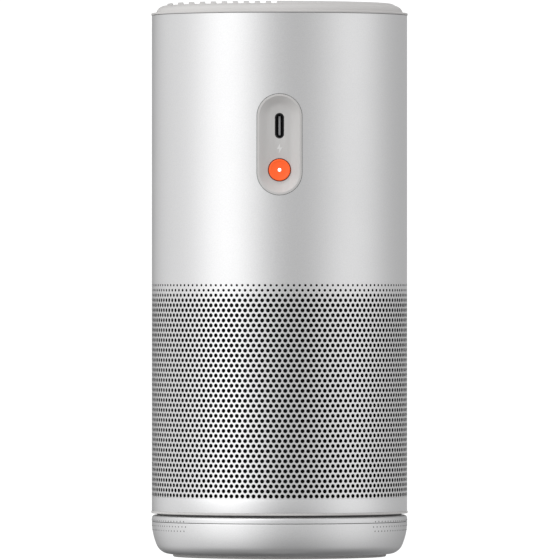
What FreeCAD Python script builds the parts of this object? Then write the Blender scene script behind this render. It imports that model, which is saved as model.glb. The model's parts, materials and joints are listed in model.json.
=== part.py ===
import FreeCAD, Part
import math
import os

import Sketcher

# A cylindrical, battery powered smart speaker: an aluminium sleeve over a plastic core, a sealed
# acoustic box with two drivers and two passive radiators in its lower half, batteries and boards in
# its upper half, a ribbed cap with the microphones under it, and a weighted base on a ring foot.
# Frame: millimetres, +Z up, origin on the standing surface under the centre. -Y faces the recessed
# panel with the charging port and the power button, and +X is on the right of someone facing it.

doc = FreeCAD.newDocument("smart_speaker")
sheet = doc.addObject("Spreadsheet::Sheet", "Sizes")
nodes = []


# ---------------------------------------------------------------- sizes that follow the sheet


class Size:
    """A number in millimetres or degrees, with the sheet expression that gives it."""

    def __init__(self, value, text):
        self.value = value
        self.text = text

    def __add__(self, other):
        return joined(self, "+", other)

    def __radd__(self, other):
        return joined(other, "+", self)

    def __sub__(self, other):
        return joined(self, "-", other)

    def __rsub__(self, other):
        return joined(other, "-", self)

    def __mul__(self, other):
        return joined(self, "*", other)

    def __rmul__(self, other):
        return joined(other, "*", self)

    def __truediv__(self, other):
        return joined(self, "/", other)

    def __neg__(self):
        return joined(0, "-", self)


def sized(number):
    """number as a Size, whether it is one already or a plain number."""
    if isinstance(number, Size):
        return number
    return Size(float(number), repr(float(number)))


def joined(left, sign, right):
    """The Size that left and right make with one arithmetic sign."""
    left, right = sized(left), sized(right)
    value = {
        "+": lambda: left.value + right.value,
        "-": lambda: left.value - right.value,
        "*": lambda: left.value * right.value,
        "/": lambda: left.value / right.value,
    }[sign]()
    return Size(value, "(" + left.text + " " + sign + " " + right.text + ")")


def root(number):
    """The square root of a Size."""
    return Size(math.sqrt(number.value), "sqrt(" + number.text + ")")


def chord_depth(radius, half_width):
    """How far from the axis a chord of that half width lies on a circle of that radius."""
    return root(radius * radius - half_width * half_width)


def cell(alias, value):
    """Writes one driving dimension into the sheet and returns it."""
    row = "A" + str(cell.row)
    cell.row += 1
    sheet.set(row, repr(value))
    sheet.setAlias(row, alias)
    return Size(float(value), "Sizes." + alias)


cell.row = 1

# outside
shell_radius = cell("shell_radius", 46.0)
shell_wall = cell("shell_wall", 1.2)
shell_length = cell("shell_length", 178.35)
shell_edge_break = cell("shell_edge_break", 0.25)
trim_proud = cell("trim_proud", 0.2)
trim_height = cell("trim_height", 0.8)
groove_height = cell("groove_height", 0.65)
neck_depth = cell("neck_depth", 2.0)
base_ring_height = cell("base_ring_height", 2.2)
base_ring_round = cell("base_ring_round", 0.6)
seam_gap = cell("seam_gap", 0.2)
cup_height = cell("cup_height", 11.6)
cup_side_radius = cell("cup_side_radius", 21.0)
cup_corner_radius = cell("cup_corner_radius", 5.3)
cup_floor = cell("cup_floor", 2.4)
cup_wall = cell("cup_wall", 2.8)
foot_stand = cell("foot_stand", 1.0)
foot_seat_depth = cell("foot_seat_depth", 0.8)
foot_radius = cell("foot_radius", 38.4)
foot_width = cell("foot_width", 8.4)
foot_chamfer = cell("foot_chamfer", 0.4)
fit_gap = cell("fit_gap", 0.1)
seam_depth = cell("seam_depth", 0.5)

# cap
cap_seam = cell("cap_seam", 0.15)
cap_flange = cell("cap_flange", 0.75)
cap_inset = cell("cap_inset", 1.6)
cap_rise = cell("cap_rise", 2.65)
cap_shoulder = cell("cap_shoulder", 3.4)
cap_skin = cell("cap_skin", 1.6)
cap_skirt = cell("cap_skirt", 4.5)
rib_pitch = cell("rib_pitch", 3.94)
rib_width = cell("rib_width", 1.9)
rib_height = cell("rib_height", 0.8)
crown_overhang = cell("crown_overhang", 0.9)
crown_sink = cell("crown_sink", 0.1)
crown_edge = cell("crown_edge", 2.4)
mic_hole_radius = cell("mic_hole_radius", 0.45)
mic_circle = cell("mic_circle", 33.49)

# panel with the port and the button
panel_width = cell("panel_width", 16.0)
panel_height = cell("panel_height", 36.0)
panel_below = cell("panel_below", 46.9)
panel_gap = cell("panel_gap", 0.15)
panel_rim = cell("panel_rim", 0.6)
scoop_depth = cell("scoop_depth", 2.3)
scoop_round = cell("scoop_round", 2.0)
panel_skin = cell("panel_skin", 1.4)
panel_flange = cell("panel_flange", 1.5)
port_above = cell("port_above", 6.65)
port_width = cell("port_width", 3.3)
port_length = cell("port_length", 9.1)
socket_width = cell("socket_width", 3.1)
socket_length = cell("socket_length", 8.9)
socket_depth = cell("socket_depth", 7.0)
tongue_width = cell("tongue_width", 0.7)
tongue_length = cell("tongue_length", 6.7)
tongue_depth = cell("tongue_depth", 4.6)
button_below = cell("button_below", 9.07)
button_radius = cell("button_radius", 3.9)
button_gap = cell("button_gap", 0.12)
button_proud = cell("button_proud", 0.5)
button_travel = cell("button_travel", 0.5)
button_flange = cell("button_flange", 0.8)
lens_radius = cell("lens_radius", 0.6)

# acoustic box and what is in it
box_bottom = cell("box_bottom", 20.0)
box_height = cell("box_height", 78.0)
box_radius = cell("box_radius", 38.0)
box_flat = cell("box_flat", 29.5)
box_wall = cell("box_wall", 2.4)
driver_height = cell("driver_height", 59.0)
driver_radius = cell("driver_radius", 23.5)
driver_flange = cell("driver_flange", 1.6)
driver_land = cell("driver_land", 2.9)
surround_width = cell("surround_width", 3.4)
cone_travel = cell("cone_travel", 2.5)
cone_skin = cell("cone_skin", 0.5)
coil_radius = cell("coil_radius", 8.0)
magnet_radius = cell("magnet_radius", 14.5)
magnet_height = cell("magnet_height", 9.0)
magnet_set_back = cell("magnet_set_back", 12.0)
radiator_radius = cell("radiator_radius", 21.0)
radiator_land = cell("radiator_land", 2.6)
radiator_travel = cell("radiator_travel", 3.0)
cloth_thickness = cell("cloth_thickness", 0.4)

# core, batteries and boards
core_floor_thickness = cell("core_floor_thickness", 2.0)
core_wall = cell("core_wall", 1.8)
battery_radius = cell("battery_radius", 9.2)
battery_head_room = cell("battery_head_room", 25.95)
board_head_room = cell("board_head_room", 24.95)
battery_gap = cell("battery_gap", 0.5)
battery_shift = cell("battery_shift", 10.0)
tray_floor = cell("tray_floor", 2.0)
tray_grip = cell("tray_grip", 6.0)
tab_thickness = cell("tab_thickness", 0.2)
main_board_clear = cell("main_board_clear", 9.0)
board_behind = cell("board_behind", 4.2)
cable_place = cell("cable_place", -24.0)
lead_radius = cell("lead_radius", 1.0)
board_thickness = cell("board_thickness", 1.6)
screw_radius = cell("screw_radius", 1.4)
screw_head_radius = cell("screw_head_radius", 2.5)
screw_head_height = cell("screw_head_height", 1.3)
thread_gap = cell("thread_gap", 0.05)
base_screw_circle = cell("base_screw_circle", 24.0)
guide_wall = cell("guide_wall", 2.0)
light_board_width = cell("light_board_width", 6.0)
mic_seal_height = cell("mic_seal_height", 2.2)
cap_screw_length = cell("cap_screw_length", 9.0)
doc.recompute()

# heights that stack up from the floor
cup_bottom = foot_stand
cup_top = cup_bottom + cup_height
ring_bottom = cup_top + seam_gap
ring_top = ring_bottom + base_ring_height
trim_bottom = ring_top + groove_height
shell_bottom = trim_bottom + trim_height
shell_top = shell_bottom + shell_length
flange_bottom = shell_top + cap_seam
flange_top = flange_bottom + cap_flange
cap_floor = flange_top + cap_rise
cap_top = cap_floor + rib_height
mic_board_top = cap_floor - cap_skin - mic_seal_height
mic_board_low = mic_board_top - board_thickness
shell_inside = shell_radius - shell_wall
trim_radius = shell_radius + trim_proud
neck_radius = shell_radius - neck_depth
box_top = box_bottom + box_height
panel_centre = shell_top - panel_below
driver_opening = driver_radius - driver_land
radiator_opening = radiator_radius - radiator_land


# ---------------------------------------------------------------- small makers


def place(thing, x=0.0, y=0.0, z=0.0):
    """Holds a thing's place at three sizes."""
    for axis, size in (("x", sized(x)), ("y", sized(y)), ("z", sized(z))):
        setattr(thing.Placement.Base, axis, size.value)
        thing.setExpression(".Placement.Base." + axis, size.text)
    return thing


def turned(thing, axis, degrees):
    """Turns a thing about its own corner or centre before it is placed."""
    thing.Placement = FreeCAD.Placement(
        FreeCAD.Vector(0, 0, 0), FreeCAD.Rotation(FreeCAD.Vector(*axis), degrees)
    )
    return thing


def bound(thing, **sizes):
    """Binds a thing's properties to sizes."""
    for name, size in sizes.items():
        setattr(thing, name, sized(size).value)
        thing.setExpression(name, sized(size).text)
    return thing


def rod(radius, height, x=0.0, y=0.0, z=0.0, along="z"):
    """A cylinder that starts at a point and runs along +X, +Y or +Z."""
    made = bound(doc.addObject("Part::Cylinder", "Rod"), Radius=radius, Height=height)
    if along == "x":
        turned(made, (0, 1, 0), 90)
    if along == "y":
        turned(made, (1, 0, 0), -90)
    return place(made, x, y, z)


def block(width, depth, height, x=0.0, y=0.0, z=0.0):
    """A box whose lower face is centred on a point."""
    width, depth = sized(width), sized(depth)
    made = bound(doc.addObject("Part::Box", "Block"), Length=width, Width=depth, Height=height)
    return place(made, sized(x) - width / 2, sized(y) - depth / 2, z)


def fused(*things):
    """One solid or group of the things."""
    if len(things) == 1:
        return things[0]
    made = doc.addObject("Part::MultiFuse", "Fused")
    made.Shapes = list(things)
    made.Refine = True
    return made


def cut(base, *tools):
    """base with the tools taken away."""
    made = doc.addObject("Part::Cut", "Cut")
    made.Base = base
    made.Tool = fused(*tools)
    return made


def common(one, other):
    """What two things share."""
    made = doc.addObject("Part::Common", "Common")
    made.Base = one
    made.Tool = other
    return made


def tube(outer, inner, height, x=0.0, y=0.0, z=0.0, along="z"):
    """A straight tube."""
    return cut(rod(outer, height, x, y, z, along), rod(inner, height, x, y, z, along))


def stadium(width, length, depth, y, z):
    """A block with round ends above and below, its front face at y and its middle at z."""
    width, length = sized(width), sized(length)
    straight = (length - width) / 2
    return fused(
        block(width, depth, straight * 2, 0, sized(y) + sized(depth) / 2, sized(z) - straight),
        rod(width / 2, depth, 0, y, sized(z) + straight, "y"),
        rod(width / 2, depth, 0, y, sized(z) - straight, "y"),
    )


def node(label, thing):
    """Names a finished sub-part."""
    thing.Label = label
    nodes.append(thing)
    return thing


def group(label, things):
    """A node that holds several separate solids of one kind."""
    made = doc.addObject("Part::Compound", label)
    made.Links = list(things)
    return node(label, made)


def new_body(label):
    """An empty PartDesign body that is a node of its own."""
    return node(label, doc.addObject("PartDesign::Body", label))


def origin_plane(body, role):
    """One of a body's own origin planes."""
    return next(f for f in body.Origin.OriginFeatures if f.Role == role)


def segment_of(start, end):
    """The sketch geometry from one corner to the next, and which ends of it they are."""
    a = FreeCAD.Vector(start[0].value, start[1].value, 0)
    b = FreeCAD.Vector(end[0].value, end[1].value, 0)
    if len(start) == 2:
        return Part.LineSegment(a, b), (1, 2)
    bulge = sized(start[2]).value
    middle = (a + b) * 0.5
    half = (b - a) * 0.5
    height = math.sqrt(max(bulge * bulge - half.Length * half.Length, 0.0))
    side = FreeCAD.Vector(-half.y, half.x, 0)
    side.normalize()
    centre = middle + side * math.copysign(height, bulge)
    circle = Part.Circle(centre, FreeCAD.Vector(0, 0, 1), abs(bulge))
    from_a = math.atan2(a.y - centre.y, a.x - centre.x)
    from_b = math.atan2(b.y - centre.y, b.x - centre.x)
    if bulge > 0:
        return Part.ArcOfCircle(circle, from_a, from_b), (1, 2)
    return Part.ArcOfCircle(circle, from_b, from_a), (2, 1)


def outline(body, plane, corners):
    """A closed sketch. A corner is (x, y), or (x, y, radius) where an arc runs to the next one,
    with its centre on the left of the way there for a positive radius and right for a negative."""
    sketch = body.newObject("Sketcher::SketchObject", "Outline")
    sketch.AttachmentSupport = (origin_plane(body, plane), [""])
    sketch.MapMode = "FlatFace"
    corners = [tuple(sized(size) for size in corner) for corner in corners]
    ends = []
    for i, corner in enumerate(corners):
        shape, which = segment_of(corner, corners[(i + 1) % len(corners)])
        sketch.addGeometry(shape, False)
        ends.append(which)
    for i, corner in enumerate(corners):
        after = (i + 1) % len(corners)
        sketch.addConstraint(Sketcher.Constraint("Coincident", i, ends[i][1], after, ends[after][0]))
        for kind, size in (("DistanceX", corner[0]), ("DistanceY", corner[1])):
            rule = Sketcher.Constraint(kind, -1, 1, i, ends[i][0], size.value)
            index = sketch.addConstraint(rule)
            sketch.setExpression("Constraints[" + str(index) + "]", size.text)
        if len(corner) == 3:
            index = sketch.addConstraint(Sketcher.Constraint("Radius", i, abs(corner[2].value)))
            sketch.setExpression("Constraints[" + str(index) + "]", "abs(" + corner[2].text + ")")
    return sketch


def revolved(body, corners, plane="XZ_Plane", axis="V_Axis"):
    """Turns an outline once round an axis of its sketch."""
    sketch = outline(body, plane, corners)
    turn = body.newObject("PartDesign::Revolution", "Turn")
    turn.Profile = sketch
    turn.ReferenceAxis = (sketch, [axis])
    turn.Angle = 360.0
    body.Tip = turn
    return turn


def padded(body, corners, length, plane="XY_Plane"):
    """Raises an outline into the body's first solid."""
    sketch = outline(body, plane, corners)
    pad = bound(body.newObject("PartDesign::Pad", "Pad"), Length=length)
    pad.Profile = sketch
    body.Tip = pad
    return pad


def drilled(body, plane, circles, depth, both_ways=False, reverse=False):
    """Pockets round holes. Each circle is (x, y, radius) on the plane."""
    sketch = body.newObject("Sketcher::SketchObject", "Holes")
    sketch.AttachmentSupport = (origin_plane(body, plane), [""])
    sketch.MapMode = "FlatFace"
    for i, circle in enumerate(circles):
        x, y, radius = (sized(size) for size in circle)
        centre = FreeCAD.Vector(x.value, y.value, 0)
        sketch.addGeometry(Part.Circle(centre, FreeCAD.Vector(0, 0, 1), radius.value), False)
        for rule, size in (
            (Sketcher.Constraint("DistanceX", -1, 1, i, 3, x.value), x),
            (Sketcher.Constraint("DistanceY", -1, 1, i, 3, y.value), y),
            (Sketcher.Constraint("Radius", i, radius.value), radius),
        ):
            index = sketch.addConstraint(rule)
            sketch.setExpression("Constraints[" + str(index) + "]", size.text)
    pocket = body.newObject("PartDesign::Pocket", "Pocket")
    pocket.Profile = sketch
    bound(pocket, Length=depth)
    pocket.Midplane = both_ways
    pocket.Reversed = reverse
    body.Tip = pocket
    return pocket


def dressed(body, kind, property_name, size, wanted):
    """Fillets or chamfers the edges of the body's tip that wanted(edge) picks."""
    doc.recompute()
    base = body.Tip
    names = ["Edge" + str(i + 1) for i, edge in enumerate(base.Shape.Edges) if wanted(edge)]
    dress = body.newObject("PartDesign::" + kind, kind)
    dress.Base = (base, names)
    bound(dress, **{property_name: size})
    body.Tip = dress
    return dress


def ring_edge(radius, height):
    """Picks the round edges about the Z axis with that radius at that height."""

    def wanted(edge):
        curve = edge.Curve
        return (
            isinstance(curve, Part.Circle)
            and abs(curve.Radius - radius.value) < 1e-4
            and abs(curve.Center.z - height.value) < 1e-4
        )

    return wanted


def around(count, radius, start=0.0):
    """Points spread evenly on a circle, as sizes."""
    turns = [math.radians(start + 360.0 * i / count) for i in range(count)]
    return [(radius * math.cos(turn), radius * math.sin(turn)) for turn in turns]


# ---------------------------------------------------------------- outside


def make_outer_shell():
    """The one-piece aluminium sleeve with the window for the panel. Its many small sound holes are
    too many for a solid of workable size, so they are made where its finish is made."""
    body = new_body("outer_shell")
    revolved(
        body,
        [
            (shell_inside, shell_bottom),
            (shell_radius, shell_bottom),
            (shell_radius, shell_top - shell_edge_break),
            (shell_radius - shell_edge_break, shell_top),
            (shell_inside, shell_top),
        ],
    )
    straight = (panel_height - panel_width) / 2
    half = panel_width / 2 + panel_gap
    sketch = body.newObject("Sketcher::SketchObject", "Window")
    sketch.AttachmentSupport = (origin_plane(body, "XZ_Plane"), [""])
    sketch.MapMode = "FlatFace"
    up, down = panel_centre + straight, panel_centre - straight
    axis = FreeCAD.Vector(0, 0, 1)
    for centre, first in ((up, 0.0), (down, math.pi)):
        circle = Part.Circle(FreeCAD.Vector(0, centre.value, 0), axis, half.value)
        sketch.addGeometry(Part.ArcOfCircle(circle, first, first + math.pi), False)
    for x, low, high in ((-half, up, down), (half, down, up)):
        start = FreeCAD.Vector(x.value, low.value, 0)
        end = FreeCAD.Vector(x.value, high.value, 0)
        sketch.addGeometry(Part.LineSegment(start, end), False)
    rules = [
        Sketcher.Constraint("Tangent", 0, 2, 2, 1),
        Sketcher.Constraint("Tangent", 2, 2, 1, 1),
        Sketcher.Constraint("Tangent", 1, 2, 3, 1),
        Sketcher.Constraint("Tangent", 3, 2, 0, 1),
        Sketcher.Constraint("PointOnObject", 0, 3, -2),
        Sketcher.Constraint("PointOnObject", 1, 3, -2),
    ]
    sketch.addConstraint(rules)
    for rule, size in (
        (Sketcher.Constraint("DistanceY", -1, 1, 0, 3, up.value), up),
        (Sketcher.Constraint("DistanceY", -1, 1, 1, 3, down.value), down),
        (Sketcher.Constraint("Radius", 0, half.value), half),
    ):
        index = sketch.addConstraint(rule)
        sketch.setExpression("Constraints[" + str(index) + "]", size.text)
    window = body.newObject("PartDesign::Pocket", "WindowCut")
    window.Profile = sketch
    bound(window, Length=shell_radius + trim_proud)
    window.Reversed = True
    body.Tip = window


# what the pieces of the base share
base_inner = shell_radius - cup_wall
cup_floor_top = cup_bottom + cup_floor
seat_top = cup_bottom + foot_seat_depth
base_clear_hole = screw_radius + thread_gap + fit_gap
ballast_height = (ring_bottom - cup_floor_top) / 2
ballast_top = cup_floor_top + ballast_height
low_neck = base_inner - fit_gap
guide_radius = low_neck - core_wall


def base_screw_spots():
    """Where the three base screws stand."""
    return around(3, base_screw_circle, 90.0)


def make_lower_trim_ring():
    """The proud ring under the sleeve."""
    revolved(
        new_body("lower_trim_ring"),
        [
            (neck_radius + fit_gap, trim_bottom),
            (trim_radius - trim_proud, trim_bottom),
            (trim_radius, trim_bottom + trim_proud),
            (trim_radius, shell_bottom),
            (neck_radius + fit_gap, shell_bottom),
        ],
    )


def make_base_ring():
    """The ring under the groove, rounded along its top edge."""
    ring = new_body("base_ring")
    revolved(
        ring,
        [
            (neck_radius + fit_gap, ring_bottom),
            (shell_radius, ring_bottom),
            (shell_radius, ring_top),
            (neck_radius + fit_gap, ring_top),
        ],
    )
    dressed(ring, "Fillet", "Radius", base_ring_round, ring_edge(shell_radius, ring_top))


def make_base_cup():
    """The cup: its side is a wide arc that leaves the top edge upright, and runs into a corner
    arc; the foot's seat and the screws' bores are cut from below."""
    side_x = shell_radius - cup_side_radius
    corner_z = cup_bottom + cup_corner_radius
    between = cup_side_radius - cup_corner_radius
    drop = cup_top - corner_z
    corner_x = side_x + chord_depth(between, drop)
    meet_x = side_x + (corner_x - side_x) * cup_side_radius / between
    meet_z = cup_top - drop * cup_side_radius / between
    seat_inner = foot_radius - foot_width - fit_gap
    seat_outer = foot_radius + fit_gap
    cup = new_body("base_cup")
    revolved(
        cup,
        [
            (0, cup_bottom),
            (seat_inner, cup_bottom),
            (seat_inner, seat_top),
            (seat_outer, seat_top),
            (seat_outer, cup_bottom),
            (corner_x, cup_bottom, cup_corner_radius),
            (meet_x, meet_z, cup_side_radius),
            (shell_radius, cup_top),
            (base_inner, cup_top),
            (base_inner, cup_bottom + cup_corner_radius),
            (base_inner - cup_corner_radius, cup_floor_top),
            (0, cup_floor_top),
        ],
    )
    holes = [(x, y, base_clear_hole) for x, y in base_screw_spots()]
    drilled(cup, "XY_Plane", holes, cup_top, reverse=True)
    head_top = cup_bottom + screw_head_height + fit_gap
    heads = [(x, y, screw_head_radius + fit_gap) for x, y in base_screw_spots()]
    drilled(cup, "XY_Plane", heads, head_top, reverse=True)


def make_foot_pad():
    """The rubber ring that the speaker stands on."""
    foot_inner = foot_radius - foot_width
    revolved(
        new_body("foot_pad"),
        [
            (foot_inner + foot_chamfer, 0),
            (foot_radius - foot_chamfer, 0),
            (foot_radius, foot_chamfer),
            (foot_radius, seat_top),
            (foot_inner, seat_top),
            (foot_inner, foot_chamfer),
        ],
    )


def make_ballast_plate():
    """The steel plate on the cup's floor."""
    ballast_radius = base_inner - cup_corner_radius - fit_gap
    ballast = rod(ballast_radius, ballast_height, 0, 0, cup_floor_top)
    spots = base_screw_spots()
    holes = [rod(base_clear_hole, ballast_height, x, y, cup_floor_top) for x, y in spots]
    node("ballast_plate", cut(ballast, *holes))


def make_lower_chassis():
    """The black neck that shows in the groove, with the floor of the body on top of it."""
    chassis_inside = shell_inside - fit_gap
    chassis = doc.addObject("PartDesign::Body", "ChassisBody")
    revolved(
        chassis,
        [
            (low_neck - core_wall, ballast_top),
            (low_neck, ballast_top),
            (low_neck, cup_top),
            (shell_radius - seam_depth, cup_top),
            (shell_radius - seam_depth, ring_bottom),
            (neck_radius, ring_bottom),
            (neck_radius, shell_bottom),
            (chassis_inside, shell_bottom),
            (chassis_inside, box_bottom + core_wall),
            (chassis_inside - core_wall, box_bottom + core_wall),
            (chassis_inside - core_wall, box_bottom),
            (0, box_bottom),
            (0, shell_bottom),
            (low_neck - core_wall, shell_bottom),
        ],
    )
    boss_radius = screw_radius * 2
    bore = screw_radius + thread_gap
    bosses = [
        tube(boss_radius, bore, shell_bottom - ballast_top, x, y, ballast_top)
        for x, y in base_screw_spots()
    ]
    node("lower_chassis", fused(chassis, *bosses))


def make_base_screws():
    """The screws that hold the cup and the ballast to the chassis."""
    screw_bottom = cup_bottom + fit_gap
    shank = shell_bottom - fit_gap - screw_bottom - screw_head_height
    group("base_screws", [screw(x, y, screw_bottom, shank) for x, y in base_screw_spots()])


def make_light_guide():
    """The status light's ring, behind the rows of tiny holes, and the board that lights it."""
    guide_height = shell_bottom - ballast_top - board_thickness
    node("light_guide", tube(guide_radius, guide_radius - guide_wall, guide_height, 0, 0, ballast_top))
    led_board_z = ballast_top + guide_height
    led_board_inner = guide_radius - light_board_width
    node("light_board", tube(guide_radius, led_board_inner, board_thickness, 0, 0, led_board_z))


def screw(x, y, bottom, shank):
    """A pan head screw that points up, with a square drive, its head's face at bottom."""
    head = rod(screw_head_radius, screw_head_height, x, y, bottom)
    stem = rod(screw_radius, shank, x, y, sized(bottom) + screw_head_height)
    drive = block(screw_radius, screw_radius, screw_head_height / 2, x, y, bottom)
    return cut(fused(head, stem), drive)


def screw_down(x, y, top, shank):
    """The same screw pointing down, its head's face at top."""
    head_z = top - screw_head_height
    head = rod(screw_head_radius, screw_head_height, x, y, head_z)
    stem = rod(screw_radius, shank, x, y, head_z - shank)
    drive = block(screw_radius, screw_radius, screw_head_height / 2, x, y, top - screw_head_height / 2)
    return cut(fused(head, stem), drive)


# ---------------------------------------------------------------- cap


def make_cap():
    """The moulded cap: a flange on the sleeve, a rounded shoulder, a flat top with ribs from front
    to back over its left half and a flush plate over its right half, and a skirt inside."""
    dome_radius = trim_radius - trim_proud - cap_inset
    flat_radius = dome_radius - cap_shoulder
    skirt_radius = shell_inside - fit_gap
    body = doc.addObject("PartDesign::Body", "CapBody")
    revolved(
        body,
        [
            (skirt_radius - cap_skin, shell_top - cap_skirt),
            (skirt_radius, shell_top - cap_skirt),
            (skirt_radius, flange_bottom),
            (trim_radius, flange_bottom),
            (trim_radius, flange_top - trim_proud),
            (trim_radius - trim_proud, flange_top),
            (dome_radius, flange_top, root(cap_shoulder * cap_shoulder + cap_rise * cap_rise) * 0.74),
            (flat_radius, cap_floor),
            (0, cap_floor),
            (0, cap_floor - cap_skin),
            (skirt_radius - cap_skin, cap_floor - cap_skin),
        ],
    )
    crown_low = cap_floor - rib_height
    crown_side = flat_radius + crown_overhang
    crown_drop = rib_height + crown_sink
    crown_round = (crown_edge * crown_edge + crown_drop * crown_drop) / (crown_drop * 2)
    crown = doc.addObject("PartDesign::Body", "CrownBody")
    revolved(
        crown,
        [
            (0, crown_low),
            (crown_side, crown_low),
            (crown_side, cap_floor - crown_sink, crown_round),
            (crown_side - crown_edge, cap_top),
            (0, cap_top),
        ],
    )
    long = crown_side * 2
    tall = rib_height * 2
    ribs = [block(rib_width, long, tall, -rib_pitch * i, 0, crown_low) for i in range(1, 11)]
    flush_width = crown_side + rib_width / 2
    flush = block(flush_width, long, tall, (crown_side - rib_width / 2) / 2, 0, crown_low)
    whole = fused(body, common(fused(flush, *ribs), crown))
    holes = [rod(mic_hole_radius, cap_rise * 2, x, y, cap_floor - cap_rise) for x, y in mic_spots()]
    node("top_cap", cut(whole, *holes))


def mic_spots():
    """The four microphones, on the centre lines of grooves on the left and mirrored on the right."""
    side = rib_pitch * 5.5
    along = chord_depth(mic_circle, side)
    return [(sx * side, sy * along) for sx in (-1, 1) for sy in (-1, 1)]


def make_top_boards():
    """What lies under the cap."""
    underside = cap_floor - cap_skin
    film_radius = shell_inside - fit_gap - cap_skin - cap_shoulder
    film_height = 0.3
    film_low = underside - film_height
    round_film = rod(film_radius, film_height, 0, 0, film_low)
    right_half = block(film_radius, film_radius * 2, film_height, film_radius / 2 + rib_width, 0, film_low)
    around_mics = [rod(mic_hole_radius * 5, film_height, x, y, film_low) for x, y in mic_spots()]
    node("touch_film", cut(common(round_film, right_half), *around_mics))
    seal_outer = mic_hole_radius * 4
    seal_inner = mic_hole_radius * 1.6
    spots = mic_spots()
    seals = [tube(seal_outer, seal_inner, mic_seal_height, x, y, mic_board_top) for x, y in spots]
    group("microphone_seals", seals)
    board_radius = shell_inside - cap_skin - fit_gap * 4
    board = rod(board_radius, board_thickness, 0, 0, mic_board_low)
    mic_ports = [rod(mic_hole_radius, board_thickness, x, y, mic_board_low) for x, y in spots]
    hole = screw_radius + thread_gap + fit_gap
    posts = cap_posts()
    screw_holes = [rod(hole, board_thickness, x, y, mic_board_low) for x, y in posts]
    node("microphone_board", cut(board, *mic_ports, *screw_holes))
    parts = [block(3.5, 2.6, 1.0, x, y, mic_board_low - 1.0) for x, y in spots]
    for width, depth, height, x, y in ((7, 7, 0.9, 0, 8), (5, 5, 0.8, 12, -14), (8, 3, 1.5, -14, 16)):
        parts.append(block(width, depth, height, x, y, mic_board_low - height))
    group("microphone_board_parts", parts)
    head_top = mic_board_top + screw_head_height
    group("cap_screws", [screw_down(x, y, head_top, cap_screw_length) for x, y in posts])


def cap_posts():
    """Where the microphone board is screwed to the core's top ring."""
    return around(3, shell_inside - 6.0, 30.0)


# ---------------------------------------------------------------- panel, port and button


def make_panel():
    """The recessed panel: a nose that fills the window flush with the sleeve, a scoop with a flat
    floor, a flange behind the sleeve, the port slot, the button's hole and the board's posts."""
    floor_y = scoop_depth - shell_radius
    back_y = floor_y + panel_skin
    front_y = -shell_radius - 1
    depth = back_y - front_y
    nose_low = panel_centre - panel_height / 2
    nose = common(
        stadium(panel_width, panel_height, depth, front_y, panel_centre),
        rod(shell_radius, panel_height, 0, 0, nose_low),
    )
    flange_width = panel_width + panel_flange * 2
    flange_height = panel_height + panel_flange * 2
    flange = common(
        stadium(flange_width, flange_height, depth, front_y, panel_centre),
        rod(shell_inside, flange_height, 0, 0, nose_low - panel_flange),
    )
    post_x = panel_width / 2 - 1.2
    post_z = panel_height / 2 - 6.0
    posts = [
        rod(1.3, board_behind, side * post_x, back_y, panel_centre + up * post_z, "y")
        for side in (-1, 1)
        for up in (-1, 1)
    ]
    solid = fused(nose, flange, *posts)
    scoop_width = panel_width - panel_rim * 2
    scoop_height = panel_height - panel_rim * 2
    scoop_front = -shell_radius - 2
    scoop = stadium(scoop_width, scoop_height, floor_y - scoop_front, scoop_front, panel_centre)
    doc.recompute()
    rounded = doc.addObject("Part::Fillet", "ScoopRound")
    rounded.Base = scoop
    deepest = floor_y.value
    rounded.Edges = [
        (i + 1, scoop_round.value, scoop_round.value)
        for i, edge in enumerate(scoop.Shape.Edges)
        if abs(edge.BoundBox.YMin - deepest) < 1e-4 and abs(edge.BoundBox.YMax - deepest) < 1e-4
    ]
    port_z = panel_centre + port_above
    button_z = panel_centre - button_below
    through = panel_skin * 4
    slot = stadium(port_width, port_length, through, floor_y - panel_skin, port_z)
    hole = rod(button_radius + button_gap, through, 0, floor_y - panel_skin, button_z, "y")
    node("port_panel", cut(solid, rounded, slot, hole))
    make_port(port_z, floor_y)
    make_button(button_z, floor_y, back_y)
    make_panel_board(port_z, button_z, back_y)


def make_port(port_z, floor_y):
    """The charging receptacle: a drawn steel shell, and its tongue with the contacts."""
    face_y = floor_y + 0.35
    steel = 0.3
    back_wall = 1.2
    body = stadium(socket_width, socket_length, socket_depth, face_y, port_z)
    room_depth = socket_depth - back_wall
    room = stadium(socket_width - steel * 2, socket_length - steel * 2, room_depth, face_y, port_z)
    node("usb_receptacle", cut(body, room))
    tongue_y = face_y + room_depth - tongue_depth
    tongue_low = port_z - tongue_length / 2
    middle = tongue_y + tongue_depth / 2
    pieces = [block(tongue_width, tongue_depth, tongue_length, 0, middle, tongue_low)]
    contact_pitch, contact_width, contact_height = 0.5, 0.25, 0.04
    first = port_z - contact_pitch * 5.5 - contact_width / 2
    for side in (-1, 1):
        x = side * (tongue_width + contact_height) / 2
        for i in range(12):
            pieces.append(block(contact_height, 3.4, contact_width, x, middle, first + contact_pitch * i))
    group("usb_tongue", pieces)


def make_button(button_z, floor_y, back_y):
    """The power button with its retaining flange, and the clear light pipe through it."""
    front = floor_y - button_proud
    flange_front = back_y + fit_gap
    flange_back = flange_front + button_flange
    bore = lens_radius + thread_gap / 5
    edge = 0.35
    dish = 0.1
    body = new_body("power_button")
    revolved(
        body,
        [
            (bore, front + dish),
            (button_radius - edge * 3, front + dish),
            (button_radius - edge * 2, front),
            (button_radius - edge, front),
            (button_radius, front + edge),
            (button_radius, flange_front),
            (button_radius + button_flange, flange_front),
            (button_radius + button_flange, flange_back),
            (bore, flange_back),
        ],
        "XY_Plane",
        "V_Axis",
    )
    place(body, 0, 0, button_z)
    pipe_front = front + dish / 2
    node("button_light_pipe", rod(lens_radius, flange_back - pipe_front, 0, pipe_front, button_z, "y"))


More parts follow.
